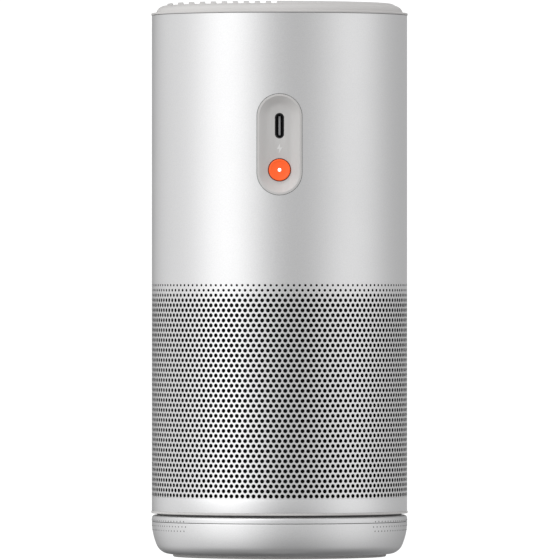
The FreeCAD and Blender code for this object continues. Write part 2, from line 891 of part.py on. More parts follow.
def make_panel_board(port_z, button_z, back_y):
    """The small board behind the panel that holds the receptacle, the switch and the light."""
    board_y = back_y + board_behind
    board_low = panel_centre - panel_height / 2 - 2
    board = block(
        panel_width + 4, board_thickness, panel_height + 4, 0, board_y + board_thickness / 2, board_low
    )
    seat = stadium(socket_width, socket_length, board_thickness * 3, board_y - board_thickness, port_z)
    node("panel_board", cut(board, seat))
    pressed = back_y + fit_gap + button_flange + button_travel + thread_gap
    switch_face = pressed + 0.5
    depth = board_y - switch_face
    parts = []
    for side in (-1, 1):
        switch = block(2.2, depth, 5.0, side * 3.2, switch_face + depth / 2, button_z - 2.5)
        plunger = rod(0.9, switch_face - pressed, side * 3.2, pressed, button_z, "y")
        parts.append(fused(switch, plunger))
    light_depth = 0.9
    parts.append(block(1.6, light_depth, 0.9, 0, board_y - light_depth / 2, button_z - 0.45))
    group("panel_board_parts", parts)


# ---------------------------------------------------------------- acoustic box


def make_box():
    """The sealed box: four flats that carry the drivers and radiators, and round corners."""
    half = chord_depth(box_radius, box_flat)
    corners = [
        (box_flat, -half),
        (box_flat, half, box_radius),
        (half, box_flat),
        (-half, box_flat, box_radius),
        (-box_flat, half),
        (-box_flat, -half, box_radius),
        (-half, -box_flat),
        (half, -box_flat, box_radius),
    ]
    flat_inside = box_flat - box_wall
    round_inside = box_radius - box_wall
    half_inside = chord_depth(round_inside, flat_inside)
    inside = [
        (flat_inside, -half_inside),
        (flat_inside, half_inside, round_inside),
        (half_inside, flat_inside),
        (-half_inside, flat_inside, round_inside),
        (-flat_inside, half_inside),
        (-flat_inside, -half_inside, round_inside),
        (-half_inside, -flat_inside),
        (half_inside, -flat_inside, round_inside),
    ]
    lid_height = box_wall
    wall_height = box_height - lid_height
    outer = doc.addObject("PartDesign::Body", "BoxOuter")
    padded(outer, corners, wall_height)
    place(outer, 0, 0, box_bottom)
    room = doc.addObject("PartDesign::Body", "BoxRoom")
    padded(room, inside, wall_height)
    place(room, 0, 0, box_bottom + box_wall)
    through = box_radius * 2
    driver_hole = driver_opening + fit_gap
    radiator_hole = radiator_opening + fit_gap
    node(
        "speaker_box",
        cut(
            outer,
            room,
            rod(driver_hole, through, 0, -box_radius, driver_height, "y"),
            rod(radiator_hole, through, -box_radius, 0, driver_height, "x"),
            *[hole for side in (-1, 1) for hole in driver_screw_holes(side)],
            *[hole for side in (-1, 1) for hole in radiator_screw_holes(side)],
        ),
    )
    lid = doc.addObject("PartDesign::Body", "BoxLid")
    padded(lid, corners, lid_height)
    place(lid, 0, 0, box_bottom + wall_height)
    gland_radius = lead_radius * 2.5
    lid_z = box_bottom + wall_height
    node("speaker_box_lid", cut(lid, rod(gland_radius, lid_height, 0, cable_place, lid_z)))
    gland_bore = lead_radius + 0.3
    node("cable_gland", tube(gland_radius, gland_bore, lid_height + 2, 0, cable_place, lid_z - 1))


def driver_screw_spots():
    """The four screws of a driver, about its own axis."""
    return around(4, driver_radius - 1.4, 45.0)


def radiator_screw_spots():
    """The four screws of a passive radiator, about its own axis."""
    return around(4, radiator_radius - 1.25, 45.0)


def driver_screw_holes(side):
    """Pilot holes in the box for one driver."""
    y = -box_radius if side < 0 else box_flat - box_wall * 1.5
    long = box_radius - box_flat + box_wall * 1.5
    return [rod(0.8, long, x, y, driver_height + z, "y") for x, z in driver_screw_spots()]


def radiator_screw_holes(side):
    """Pilot holes in the box for one radiator."""
    x = -box_radius if side < 0 else box_flat - box_wall * 1.5
    long = box_radius - box_flat + box_wall * 1.5
    return [rod(0.8, long, x, y, driver_height + z, "x") for y, z in radiator_screw_spots()]


def turned_part(label, side, corners, across):
    """A body turned about the Y axis, or about X for a radiator, that faces out on one side.
    Corners are (radius, distance out from the middle of the speaker)."""
    body = new_body(label)
    if across == "y":
        revolved(body, [(radius, sized(out) * side) for radius, out in corners], "XY_Plane", "V_Axis")
    else:
        revolved(body, [(sized(out) * side, radius) for radius, out in corners], "XY_Plane", "H_Axis")
    place(body, 0, 0, driver_height)
    return body


def make_driver(name, side):
    """A full range driver on the +Y or -Y flat: frame, magnet, moving cone and rubber surround."""
    face = box_flat + driver_flange
    rim_inner = driver_opening - 0.6
    cone_edge = rim_inner - surround_width
    cone_depth = 6.5
    cap_radius = coil_radius
    frame_back = box_flat - magnet_set_back
    magnet_front = frame_back
    frame = [
        (rim_inner, face),
        (driver_radius, face),
        (driver_radius, box_flat),
        (driver_opening, box_flat),
        (driver_opening, box_flat - 3.0),
        (magnet_radius - 2, frame_back),
        (coil_radius + 1.6, frame_back),
        (coil_radius + 1.6, frame_back + 1.0),
        (magnet_radius - 2.4, frame_back + 1.0),
        (rim_inner - 0.6, box_flat - 2.6),
        (rim_inner, box_flat - 1.0),
    ]
    body = turned_part(name + "_driver_frame", side, frame, "y")
    spots = driver_screw_spots()
    # screw holes through the flange only
    drilled(body, "XZ_Plane", [(x, z, 0.9) for x, z in spots], face + 1, reverse=side < 0)

    pole = coil_radius - 0.9
    gap_out = coil_radius + 1.2
    plate = 2.5
    magnet = [
        (0, magnet_front - magnet_height),
        (magnet_radius, magnet_front - magnet_height),
        (magnet_radius, magnet_front),
        (gap_out, magnet_front),
        (gap_out, magnet_front - magnet_height + plate),
        (pole, magnet_front - magnet_height + plate),
        (pole, magnet_front),
        (0, magnet_front),
    ]
    turned_part(name + "_driver_magnet", side, magnet, "y")

    edge_out = box_flat + 0.3
    neck_out = edge_out - cone_depth
    former_back = magnet_front - magnet_height + plate + cone_travel + 0.6
    skin = cone_skin
    cone = [
        (coil_radius - 0.35, former_back),
        (coil_radius + 0.35, former_back),
        (coil_radius + 0.35, neck_out - skin),
        (cone_edge, edge_out - skin),
        (cone_edge, edge_out),
        (cap_radius + 0.35, neck_out + skin),
        (0, neck_out + 2.6),
        (0, neck_out + 2.6 - skin),
        (coil_radius - 0.35, neck_out - skin),
    ]
    turned_part(name + "_driver_cone", side, cone, "y")

    middle = cone_edge + surround_width / 2
    roll = surround_width / 2
    rubber = 0.4
    surround = [
        (cone_edge + 0.05, edge_out - skin),
        (cone_edge + 0.6, edge_out - skin),
        (middle - 0.4, edge_out + roll * 0.55 - rubber),
        (middle + 0.4, edge_out + roll * 0.55 - rubber),
        (rim_inner - 0.6, edge_out - skin),
        (rim_inner - 0.05, edge_out - skin),
        (rim_inner - 0.05, edge_out),
        (middle + 0.6, edge_out + roll * 0.55),
        (middle - 0.6, edge_out + roll * 0.55),
        (cone_edge + 0.05, edge_out),
    ]
    turned_part(name + "_driver_surround", side, surround, "y")


def make_radiator(name, side):
    """A passive radiator on the +X or -X flat: frame, weighted plate that moves, and surround."""
    face = box_flat + driver_flange
    rim_inner = radiator_opening - 0.8
    plate_edge = rim_inner - surround_width
    frame = [
        (rim_inner, face),
        (radiator_radius, face),
        (radiator_radius, box_flat),
        (radiator_opening, box_flat),
        (radiator_opening, box_flat - 2.6),
        (rim_inner, box_flat - 2.6),
    ]
    body = turned_part(name + "_radiator_frame", side, frame, "x")
    spots = radiator_screw_spots()
    circles = [(y, z, 0.9) for y, z in spots]
    drilled(body, "YZ_Plane", circles, face + 1, reverse=side > 0)
    plate_out = box_flat - 0.2
    plate_in = plate_out - 1.0
    weight = plate_edge * 0.55
    plate = [
        (0, plate_in - 1.6),
        (weight, plate_in - 1.6),
        (weight, plate_in),
        (plate_edge, plate_in),
        (plate_edge, plate_out),
        (0, plate_out),
    ]
    turned_part(name + "_radiator_plate", side, plate, "x")
    middle = plate_edge + surround_width / 2
    roll = surround_width / 2
    rubber = 0.4
    surround = [
        (plate_edge + 0.05, plate_out - rubber),
        (plate_edge + 0.6, plate_out - rubber),
        (middle - 0.4, plate_out + roll * 0.55 - rubber),
        (middle + 0.4, plate_out + roll * 0.55 - rubber),
        (rim_inner - 0.6, plate_out - rubber),
        (rim_inner - 0.05, plate_out - rubber),
        (rim_inner - 0.05, plate_out),
        (middle + 0.6, plate_out + roll * 0.55),
        (middle - 0.6, plate_out + roll * 0.55),
        (plate_edge + 0.05, plate_out),
    ]
    turned_part(name + "_radiator_surround", side, surround, "x")


def side_screw(across, up, side, along):
    """A small screw through a flange on one flat, across and up from the middle of the flat."""
    face = box_flat + driver_flange
    head, shank = 0.9, 4.6
    head_at = face if side > 0 else -face - head
    stem_at = face - shank if side > 0 else -face
    if along == "y":
        start_head = (across, head_at, driver_height + up)
        start_stem = (across, stem_at, driver_height + up)
    else:
        start_head = (head_at, across, driver_height + up)
        start_stem = (stem_at, across, driver_height + up)
    return fused(rod(1.25, head, *start_head, along), rod(0.7, shank, *start_stem, along))


def make_box_screws():
    """The small screws that hold the drivers and the radiators."""
    screws = []
    for side in (-1, 1):
        screws += [side_screw(x, z, side, "y") for x, z in driver_screw_spots()]
        screws += [side_screw(y, z, side, "x") for y, z in radiator_screw_spots()]
    group("driver_screws", screws)


# ---------------------------------------------------------------- core, batteries and boards

core_bottom = box_top
core_floor_top = core_bottom + core_floor_thickness
battery_bottom = core_floor_top + tray_floor
battery_length = mic_board_low - battery_head_room - battery_bottom
main_board_height = mic_board_low - board_head_room - core_floor_top
core_radius = shell_inside - fit_gap
main_board_y = battery_shift - (battery_radius + battery_gap) * 2 - main_board_clear
board_front = main_board_y - board_thickness / 2
board_back = main_board_y + board_thickness / 2


def pillar_spots():
    """Where the core's four pillars stand."""
    return around(4, core_radius - core_wall * 2.5, 30.0)


def pillar_rooms(height, bottom):
    """The room that a tray leaves round each pillar."""
    side = core_wall * 2 + fit_gap * 2
    return [block(side, side, height, x, y, bottom) for x, y in pillar_spots()]


def battery_spots():
    """The four cells, two by two, towards the front of the core."""
    step = battery_radius + battery_gap
    return [(sx * step, battery_shift + sy * step) for sy in (-1, 1) for sx in (-1, 1)]


def make_core():
    """The carrier inside the sleeve: a floor on the box, four pillars, a top ring under the cap's
    skirt, and the posts that the microphone board is screwed to."""
    floor = rod(core_radius, core_floor_thickness, 0, 0, core_bottom)
    ring_top = shell_top - cap_skirt
    ring_width = core_wall * 3
    ring_z = ring_top - core_wall
    ring = tube(core_radius, core_radius - ring_width, core_wall, 0, 0, ring_z)
    pillar_height = ring_z - core_floor_top
    pillars = [
        block(core_wall * 2, core_wall * 2, pillar_height, x, y, core_floor_top)
        for x, y in pillar_spots()
    ]
    post_radius = screw_radius * 2
    posts = [rod(post_radius, mic_board_low - ring_z, x, y, ring_z) for x, y in cap_posts()]
    bore_low = mic_board_top - cap_screw_length - 0.5
    bore = screw_radius + thread_gap
    bores = [rod(bore, mic_board_low - bore_low, x, y, bore_low) for x, y in cap_posts()]
    cable_hole = rod(lead_radius * 3, core_floor_thickness, 0, cable_place, core_bottom)
    node("core_frame", cut(fused(floor, ring, *pillars, *posts), cable_hole, *bores))


def make_batteries():
    """Four round cells between two trays, with welded tabs and their protection board."""
    step = battery_radius + battery_gap
    tray_size = step * 4 + 2
    spots = battery_spots()
    seat = battery_radius + fit_gap
    lower_height = tray_floor + tray_grip
    lower = block(tray_size, tray_size, lower_height, 0, battery_shift, core_floor_top)
    lower_rooms = pillar_rooms(lower_height, core_floor_top)
    lower_seats = [rod(seat, tray_grip, x, y, battery_bottom) for x, y in spots]
    node("lower_battery_tray", cut(lower, *lower_seats, *lower_rooms))
    tip_height = 1.0
    for i, (x, y) in enumerate(spots):
        can = rod(battery_radius, battery_length - tip_height, x, y, battery_bottom)
        tip_z = battery_bottom + battery_length - tip_height
        tip = rod(battery_radius * 0.35, tip_height, x, y, tip_z)
        node("battery_cell_" + str(i + 1), fused(can, tip))
    cell_top = battery_bottom + battery_length
    tab_width, tab_long = 6.0, step * 2 + 6.0
    tab_y = [battery_shift - step, battery_shift + step]
    group("battery_tabs", [block(tab_long, tab_width, tab_thickness, 0, y, cell_top) for y in tab_y])
    tray_low = cell_top - tray_grip
    roof_low = cell_top + tab_thickness
    upper_height = tray_grip + tab_thickness + tray_floor
    upper = block(tray_size, tray_size, upper_height, 0, battery_shift, tray_low)
    upper_seats = [rod(seat, roof_low - tray_low, x, y, tray_low) for x, y in spots]
    tab_room = tab_long + fit_gap * 2
    rooms = [block(tab_room, tab_width + fit_gap * 2, tab_thickness, 0, y, cell_top) for y in tab_y]
    rooms += pillar_rooms(upper_height, tray_low)
    node("upper_battery_tray", cut(upper, *upper_seats, *rooms))
    node("battery_board", block(tray_size - 8, 10, board_thickness, 0, battery_shift, roof_low + tray_floor))


def make_main_board():
    """The upright main board behind the panel, with its parts and a heat spreader."""
    width, height = 52.0, main_board_height
    bottom = core_floor_top
    top = core_floor_top + main_board_height
    node("main_board", block(width, board_thickness, height, 0, main_board_y, bottom))
    node("processor_shield", block(24, 2.2, 24, -6, board_front - 1.1, top - 32))
    amplifier_depth, spreader_depth = 1.0, 2.0
    spreader_y = board_back + amplifier_depth + spreader_depth / 2
    node("heat_spreader", block(26, spreader_depth, 24, 12, spreader_y, bottom + 10))
    parts = [block(9, amplifier_depth, 9, 12, board_back + amplifier_depth / 2, bottom + 14)]
    for size_x, depth, size_z, x, up in (
        (8, 1.2, 8, 18, top - 18),
        (6, 2.8, 6, 16, top - 44),
        (6, 2.8, 6, 16, top - 35),
        (6, 3.6, 4, 0, bottom + 12),
        (6, 3.6, 4, -8, bottom + 20),
    ):
        parts.append(block(size_x, depth, size_z, x, board_front - depth / 2, up))
    for x, down in ((8, 14), (-14, 8)):
        parts.append(block(6, 3.6, 4, x, board_back + 1.8, top - down))
    group("main_board_parts", parts)


def make_cloth():
    """The black acoustic cloth behind the sound holes."""
    outer = shell_inside - fit_gap
    bottom = box_bottom + core_wall
    node("grille_cloth", tube(outer, outer - cloth_thickness, core_bottom - bottom, 0, 0, bottom))


def lead_shape(radius, points):
    """A wire of straight runs joined by tangent arcs, swept along its route."""
    spots = [FreeCAD.Vector(*[sized(size).value for size in point]) for point in points]
    edges = []
    radii = []
    start = spots[0]
    for before, corner, after in zip(spots, spots[1:], spots[2:]):
        way_in, way_out = corner - before, after - corner
        turn = way_in.getAngle(way_out)
        trim = 0.45 * min(way_in.Length, way_out.Length)
        way_in.normalize()
        way_out.normalize()
        arc_start, arc_end = corner - way_in * trim, corner + way_out * trim
        inward = way_out - way_in
        inward.normalize()
        arc_radius = trim / math.tan(turn / 2)
        centre = corner + inward * (arc_radius / math.cos(turn / 2))
        edges.append(Part.LineSegment(start, arc_start).toShape())
        edges.append(Part.Arc(arc_start, centre - inward * arc_radius, arc_end).toShape())
        radii.append(round(arc_radius, 2))
        start = arc_end
    edges.append(Part.LineSegment(start, spots[-1]).toShape())
    spine = Part.Wire(edges)
    ring = Part.Wire([Part.makeCircle(radius.value, spots[0], spots[1] - spots[0])])
    swept = spine.makePipeShell([ring], True, True)
    wanted = math.pi * radius.value**2 * spine.Length
    print("lead radii", radii, "volume", round(swept.Volume, 2), "section x length", round(wanted, 2))
    return swept


def make_lead(label, routes):
    """A node of one or more internal leads."""
    thing = doc.addObject("Part::Feature", label)
    shapes = [lead_shape(lead_radius, route) for route in routes]
    thing.Shape = shapes[0] if len(shapes) == 1 else Part.makeCompound(shapes)
    node(label, thing)


def make_leads():
    """The leads between the boards, the batteries and the drivers."""
    front_plug = board_front - 1.8
    back_plug = board_back + 1.8
    floor = core_floor_top
    x = 5.0
    magnet_top = driver_height + chord_depth(magnet_radius, x - lead_radius)
    magnet_y = box_flat - magnet_set_back - magnet_height / 2
    make_lead(
        "speaker_leads",
        [
            [
                (0, -magnet_y, driver_height + magnet_radius),
                (0, -magnet_y, driver_height + magnet_radius + 8.5),
                (0, cable_place, box_top - 6),
                (0, cable_place, floor + 0.5),
                (0, front_plug, floor + 5),
                (0, front_plug, floor + 12),
            ],
            [
                (x, -magnet_y, magnet_top),
                (x, -magnet_y, magnet_top + 7.5),
                (x, -magnet_y + 6, magnet_top + 13.5),
                (x, magnet_y - 6, magnet_top + 13.5),
                (x, magnet_y, magnet_top + 7.5),
                (x, magnet_y, magnet_top),
            ],
        ],
    )
    board_edge = battery_shift - 5.0
    roof = battery_bottom + battery_length + tab_thickness + tray_floor
    level = roof + lead_radius + fit_gap
    bend = 4.2
    plug_top = floor + main_board_height - 10
    make_lead(
        "battery_lead",
        [
            [
                (8, board_edge, level),
                (8, back_plug + bend, level),
                (8, back_plug, level - bend),
                (8, back_plug, plug_top),
            ]
        ],
    )
    panel_back = -(shell_radius - scoop_depth) + panel_skin + board_behind + board_thickness
    make_lead(
        "panel_lead",
        [
            [
                (-8, panel_back, panel_centre - 11.4),
                (-8, front_plug - 5.4, panel_centre - 11.4),
                (-8, front_plug, panel_centre - 16.8),
                (-8, front_plug, floor + 24),
            ]
        ],
    )
    make_lead(
        "microphone_lead",
        [
            [
                (-14, back_plug + 6, mic_board_low),
                (-14, back_plug + 6, mic_board_low - 8),
                (-14, back_plug, mic_board_low - 15),
                (-14, back_plug, floor + main_board_height - 4),
            ]
        ],
    )


make_outer_shell()
make_lower_trim_ring()
make_base_ring()
make_base_cup()
make_foot_pad()
make_ballast_plate()
make_lower_chassis()
make_base_screws()
make_light_guide()
make_cap()
make_top_boards()
make_panel()
make_box()
make_driver("front", 1)
make_driver("rear", -1)
make_radiator("left", -1)
make_radiator("right", 1)
make_box_screws()
make_core()
make_batteries()
make_main_board()
make_cloth()
make_leads()
doc.recompute()

for thing in doc.Objects:
    if "Invalid" in thing.State or "Error" in thing.State:
        raise RuntimeError(thing.Name + " (" + thing.Label + ") failed: " + str(thing.State))

os.makedirs("parts", exist_ok=True)
for thing in nodes:
    shape = thing.Shape
    if shape.isNull() or not shape.isValid() or not shape.Solids:
        raise RuntimeError(thing.Label + " has no valid solid")
    shape.exportStep(os.path.join("parts", thing.Label + ".step"))
print(len(nodes), "nodes written")
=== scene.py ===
"""A cylindrical smart speaker: its looks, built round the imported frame."""

import json
import math

import bpy
from mathutils import Matrix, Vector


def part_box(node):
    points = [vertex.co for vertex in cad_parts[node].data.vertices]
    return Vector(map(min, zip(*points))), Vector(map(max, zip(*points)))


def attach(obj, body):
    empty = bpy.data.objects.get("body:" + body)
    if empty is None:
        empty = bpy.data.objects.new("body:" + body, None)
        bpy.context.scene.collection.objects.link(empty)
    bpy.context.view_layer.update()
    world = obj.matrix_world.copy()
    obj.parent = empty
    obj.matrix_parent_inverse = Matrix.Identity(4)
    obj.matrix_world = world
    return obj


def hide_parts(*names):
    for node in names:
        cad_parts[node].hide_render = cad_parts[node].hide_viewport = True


MM = 0.001
SHELL = 46.0
WALL = 1.2
WELD = 0.00002  # metres; points nearer than this are one point


# ---------------------------------------------------------------- modelling helpers


def pick_nothing():
    """Leaves nothing selected, so the next operator acts only on what it makes."""
    if bpy.context.object and bpy.context.object.mode != "OBJECT":
        bpy.ops.object.mode_set(mode="OBJECT")
    bpy.ops.object.select_all(action="DESELECT")


def pick_only(piece):
    """Selects one piece and makes it the active one."""
    pick_nothing()
    piece.select_set(True)
    bpy.context.view_layer.objects.active = piece


def named(name):
    """Names the active object and its mesh."""
    piece = bpy.context.object
    piece.name = name
    piece.data.name = name
    return piece


def edit(piece):
    """Opens a piece in edit mode with nothing of it selected."""
    pick_only(piece)
    bpy.ops.object.mode_set(mode="EDIT")
    bpy.ops.mesh.select_all(action="DESELECT")


def leave_edit():
    """Back to object mode."""
    bpy.ops.object.mode_set(mode="OBJECT")


def pick_points(piece, wanted):
    """In edit mode, selects the points whose place passes a test."""
    bpy.ops.object.mode_set(mode="OBJECT")
    for point in piece.data.vertices:
        point.select = wanted(point.co)
    for edge in piece.data.edges:
        edge.select = all(piece.data.vertices[i].select for i in edge.vertices)
    for face in piece.data.polygons:
        face.select = all(piece.data.vertices[i].select for i in face.vertices)
    bpy.ops.object.mode_set(mode="EDIT")


def apply_all(piece):
    """Applies a piece's modifiers in order."""
    pick_only(piece)
    for modifier in list(piece.modifiers):
        bpy.ops.object.modifier_apply(modifier=modifier.name)


def tidy_faces(piece):
    """Merges doubled points and turns every face the right way out."""
    edit(piece)
    bpy.ops.mesh.select_all(action="SELECT")
    bpy.ops.mesh.remove_doubles(threshold=WELD / 2)
    bpy.ops.mesh.normals_make_consistent(inside=False)
    leave_edit()


def bevelled(piece, width, segments=3, angle=30):
    """Rounds a piece's sharp edges by width millimetres."""
    rounding = piece.modifiers.new("edge_round", "BEVEL")
    rounding.width = width * MM
    rounding.segments = segments
    rounding.limit_method = "ANGLE"
    rounding.angle_limit = math.radians(angle)
    rounding.miter_outer = "MITER_ARC"
    rounding.harden_normals = False
    apply_all(piece)


def even_shading(piece):
    """Lets large faces lead the shading where cuts left slivers."""
    pick_only(piece)
    bpy.ops.object.shade_smooth_by_angle(angle=math.radians(40))
    weights = piece.modifiers.new("even_shading", "WEIGHTED_NORMAL")
    weights.keep_sharp = True
    weights.weight = 80
    apply_all(piece)
    return piece


def combined(piece, other, operation):
    """Unites, intersects or cuts a piece with another closed shape, which is then removed."""
    change = piece.modifiers.new("combine", "BOOLEAN")
    change.operation = operation
    change.object = other
    change.solver = "EXACT"
    apply_all(piece)
    bpy.data.objects.remove(other)
    return piece


def carved(piece, *cutters):
    """Cuts closed shapes out of a piece and removes them."""
    for cutter in cutters:
        combined(piece, cutter, "DIFFERENCE")
    return piece


def finished(piece, body, finish, replaces=(), smooth=35):
    """Shades a piece, gives it its finish and fixes it to its body."""
    pick_only(piece)
    bpy.ops.object.transform_apply(location=True, rotation=True, scale=True)
    if smooth:
        bpy.ops.object.shade_smooth_by_angle(angle=math.radians(smooth))
    piece.data.materials.clear()
    piece.data.materials.append(finish)
    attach(piece, body)
    if replaces:
        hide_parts(*replaces)
    return piece


def joined(name, pieces):
    """One object of several, each with its own mesh."""
    pick_nothing()
    for piece in pieces:
        piece.select_set(True)
    bpy.context.view_layer.objects.active = pieces[0]
    bpy.ops.object.join()
    return named(name)


class Lathe:
    """Draws an outline point by point in the XZ plane, in millimetres, then turns it round Z."""

    def __init__(self, name, r, z):
        pick_nothing()
        bpy.ops.mesh.primitive_plane_add(size=MM)
        self.piece = named(name)
        bpy.ops.object.mode_set(mode="EDIT")
        bpy.ops.mesh.select_all(action="SELECT")
        bpy.ops.mesh.merge(type="CENTER")
        bpy.ops.transform.translate(value=(r * MM, 0, z * MM))
        self.at = (r, z)

    def line(self, r, z):
        """A straight run to a point."""
        step = ((r - self.at[0]) * MM, 0, (z - self.at[1]) * MM)
        bpy.ops.mesh.extrude_vertices_move(TRANSFORM_OT_translate={"value": step})
        self.at = (r, z)
        return self

    def arc(self, r, z, radius, steps=8):
        """An arc to a point, round a centre on the left of the way there if radius is positive."""
        ax, az = self.at
        half_x, half_z = (r - ax) / 2, (z - az) / 2
        half = math.hypot(half_x, half_z)
        rise = math.copysign(math.sqrt(max(radius * radius - half * half, 0)), radius)
        cx = ax + half_x - half_z / half * rise
        cz = az + half_z + half_x / half * rise
        turn = 2 * math.asin(min(half / abs(radius), 1.0))
        angle = turn if radius > 0 else -turn
        bpy.ops.mesh.spin(
            steps=steps, angle=angle, center=(cx * MM, 0, cz * MM), axis=(0, 1, 0), dupli=False
        )
        self.at = (r, z)
        return self

    def turn(self, steps=256):
        """Turns the outline once round the Z axis and closes the seam."""
        bpy.ops.mesh.select_all(action="SELECT")
        bpy.ops.mesh.remove_doubles(threshold=0.0000005)
        bpy.ops.mesh.spin(steps=steps, angle=math.tau, center=(0, 0, 0), axis=(0, 0, 1))
        bpy.ops.mesh.select_all(action="SELECT")
        bpy.ops.mesh.remove_doubles(threshold=0.000002)
        bpy.ops.mesh.normals_make_consistent(inside=False)
        leave_edit()
        return self.piece

    def close(self):
        """Draws the last run back to the first point."""
        bpy.ops.object.mode_set(mode="OBJECT")
        first = self.piece.data.vertices[0].co
        bpy.ops.object.mode_set(mode="EDIT")
        return self.line(first.x / MM, first.z / MM)


def face_forward(piece, y, z, x=0.0):
    """Turns a piece made round Z so that its top faces -Y, and puts it at a place."""
    pick_only(piece)
    piece.rotation_euler = (math.pi / 2, 0, 0)
    piece.location = (x * MM, y * MM, z * MM)
    bpy.ops.object.transform_apply(location=True, rotation=True, scale=True)
    return piece


def stadium_ring(piece, width, length):
    """Pulls a selected round loop's upper and lower halves apart into a stadium."""
    pull = (length - width) / 2 * MM
    pick_points(piece, lambda co: co.z > 0)
    bpy.ops.transform.translate(value=(0, 0, pull))
    pick_points(piece, lambda co: co.z < 0)
    bpy.ops.transform.translate(value=(0, 0, -pull))


def stadium_block(name, width, length, y_front, y_back, x, z, corners=48):
    """A closed upright block with round ends."""
    pick_nothing()
    bpy.ops.mesh.primitive_circle_add(
        vertices=corners, radius=width / 2 * MM, fill_type="NGON", rotation=(math.pi / 2, 0, 0)
    )
    piece = named(name)
    bpy.ops.object.transform_apply(location=True, rotation=True, scale=True)
    piece.data.transform(Matrix.Rotation(math.pi / corners, 4, "Y"))
    bpy.ops.object.mode_set(mode="EDIT")
    stadium_ring(piece, width, length)
    bpy.ops.mesh.select_all(action="SELECT")
    bpy.ops.transform.translate(value=(x * MM, y_front * MM, z * MM))
    depth = (0, (y_back - y_front) * MM, 0)
    bpy.ops.mesh.extrude_region_move(TRANSFORM_OT_translate={"value": depth})
    bpy.ops.mesh.select_all(action="SELECT")
    bpy.ops.mesh.normals_make_consistent(inside=False)
    leave_edit()
    return piece


# ---------------------------------------------------------------- material helpers


def link(tree, start, end):
    """Joins two sockets."""
    tree.links.new(start, end)


def node_of(tree, kind, **settings):
    """A new node with its settings; a name that is an input sets that input's value."""
    made = tree.nodes.new(kind)
    for key, value in settings.items():
        if hasattr(made, key) and key not in made.inputs:
            setattr(made, key, value)
        else:
            made.inputs[key].default_value = value
    return made


def group_tree(name, inputs, outputs):
    """An empty node group with typed sockets and its two end nodes."""
    tree = bpy.data.node_groups.new(name, "ShaderNodeTree")
    for label, kind, value in inputs:
        socket = tree.interface.new_socket(label, in_out="INPUT", socket_type=kind)
        if value is not None:
            socket.default_value = value
    for label, kind in outputs:
        tree.interface.new_socket(label, in_out="OUTPUT", socket_type=kind)
    return tree, tree.nodes.new("NodeGroupInput"), tree.nodes.new("NodeGroupOutput")


def make_grain_group():
    """Fine surface grain: a height for bumps, and a slow cloudy mask for colour and roughness."""
    tree, start, end = group_tree(
        "surface_grain",
        [
            ("Vector", "NodeSocketVector", None),
            ("Grain Scale", "NodeSocketFloat", 4000.0),
            ("Cloud Scale", "NodeSocketFloat", 40.0),
        ],
        [("Height", "NodeSocketFloat"), ("Clouds", "NodeSocketFloat")],
    )
    grain = node_of(tree, "ShaderNodeTexNoise", Detail=3.0, Roughness=0.6)
    clouds = node_of(tree, "ShaderNodeTexNoise", Detail=4.0, Roughness=0.55)
    for noise, scale in ((grain, "Grain Scale"), (clouds, "Cloud Scale")):
        link(tree, start.outputs["Vector"], noise.inputs["Vector"])
        link(tree, start.outputs[scale], noise.inputs["Scale"])
    link(tree, grain.outputs["Fac"], end.inputs["Height"])
    link(tree, clouds.outputs["Fac"], end.inputs["Clouds"])
    return tree


GRAIN = make_grain_group()


def finish_of(
    name,
    colour,
    second=None,
    metallic=0.0,
    roughness=(0.4, 0.5),
    grain=4000.0,
    clouds=40.0,
    bump=0.0,
    bump_depth=0.02,
    coat=0.0,
    speckle=0.0,
):
    """A surface finish: two close colours mixed by slow clouds, with a share of the fine grain
    where speckled, a roughness range on the same clouds, and fine grain as a bump."""
    material = bpy.data.materials.new(name)
    material.use_nodes = True
    tree = material.node_tree
    shader = tree.nodes["Principled BSDF"]
    place = tree.nodes.new("ShaderNodeTexCoord")
    effect = tree.nodes.new("ShaderNodeGroup")
    effect.node_tree = GRAIN
    effect.inputs["Grain Scale"].default_value = grain
    effect.inputs["Cloud Scale"].default_value = clouds
    link(tree, place.outputs["Object"], effect.inputs["Vector"])
    mix = node_of(tree, "ShaderNodeMix", data_type="RGBA")
    mix.inputs[6].default_value = (*colour, 1)
    mix.inputs[7].default_value = (*(second or colour), 1)
    blend = node_of(tree, "ShaderNodeMix", data_type="FLOAT")
    blend.inputs[0].default_value = speckle
    link(tree, effect.outputs["Clouds"], blend.inputs[2])
    link(tree, effect.outputs["Height"], blend.inputs[3])
    link(tree, blend.outputs[0], mix.inputs[0])
    rough = node_of(tree, "ShaderNodeMapRange")
    rough.inputs["From Min"].default_value = 0.3
    rough.inputs["From Max"].default_value = 0.7
    rough.inputs["To Min"].default_value = roughness[0]
    rough.inputs["To Max"].default_value = roughness[1]
    link(tree, effect.outputs["Clouds"], rough.inputs["Value"])
    link(tree, rough.outputs["Result"], shader.inputs["Roughness"])
    link(tree, mix.outputs[2], shader.inputs["Base Color"])
    shader.inputs["Metallic"].default_value = metallic
    shader.inputs["Coat Weight"].default_value = coat
    shader.inputs["Coat Roughness"].default_value = 0.15
    if bump:
        bumps = node_of(tree, "ShaderNodeBump")
        bumps.inputs["Strength"].default_value = bump
        bumps.inputs["Distance"].default_value = bump_depth * MM
        link(tree, effect.outputs["Height"], bumps.inputs["Height"])
        link(tree, bumps.outputs["Normal"], shader.inputs["Normal"])
    return material


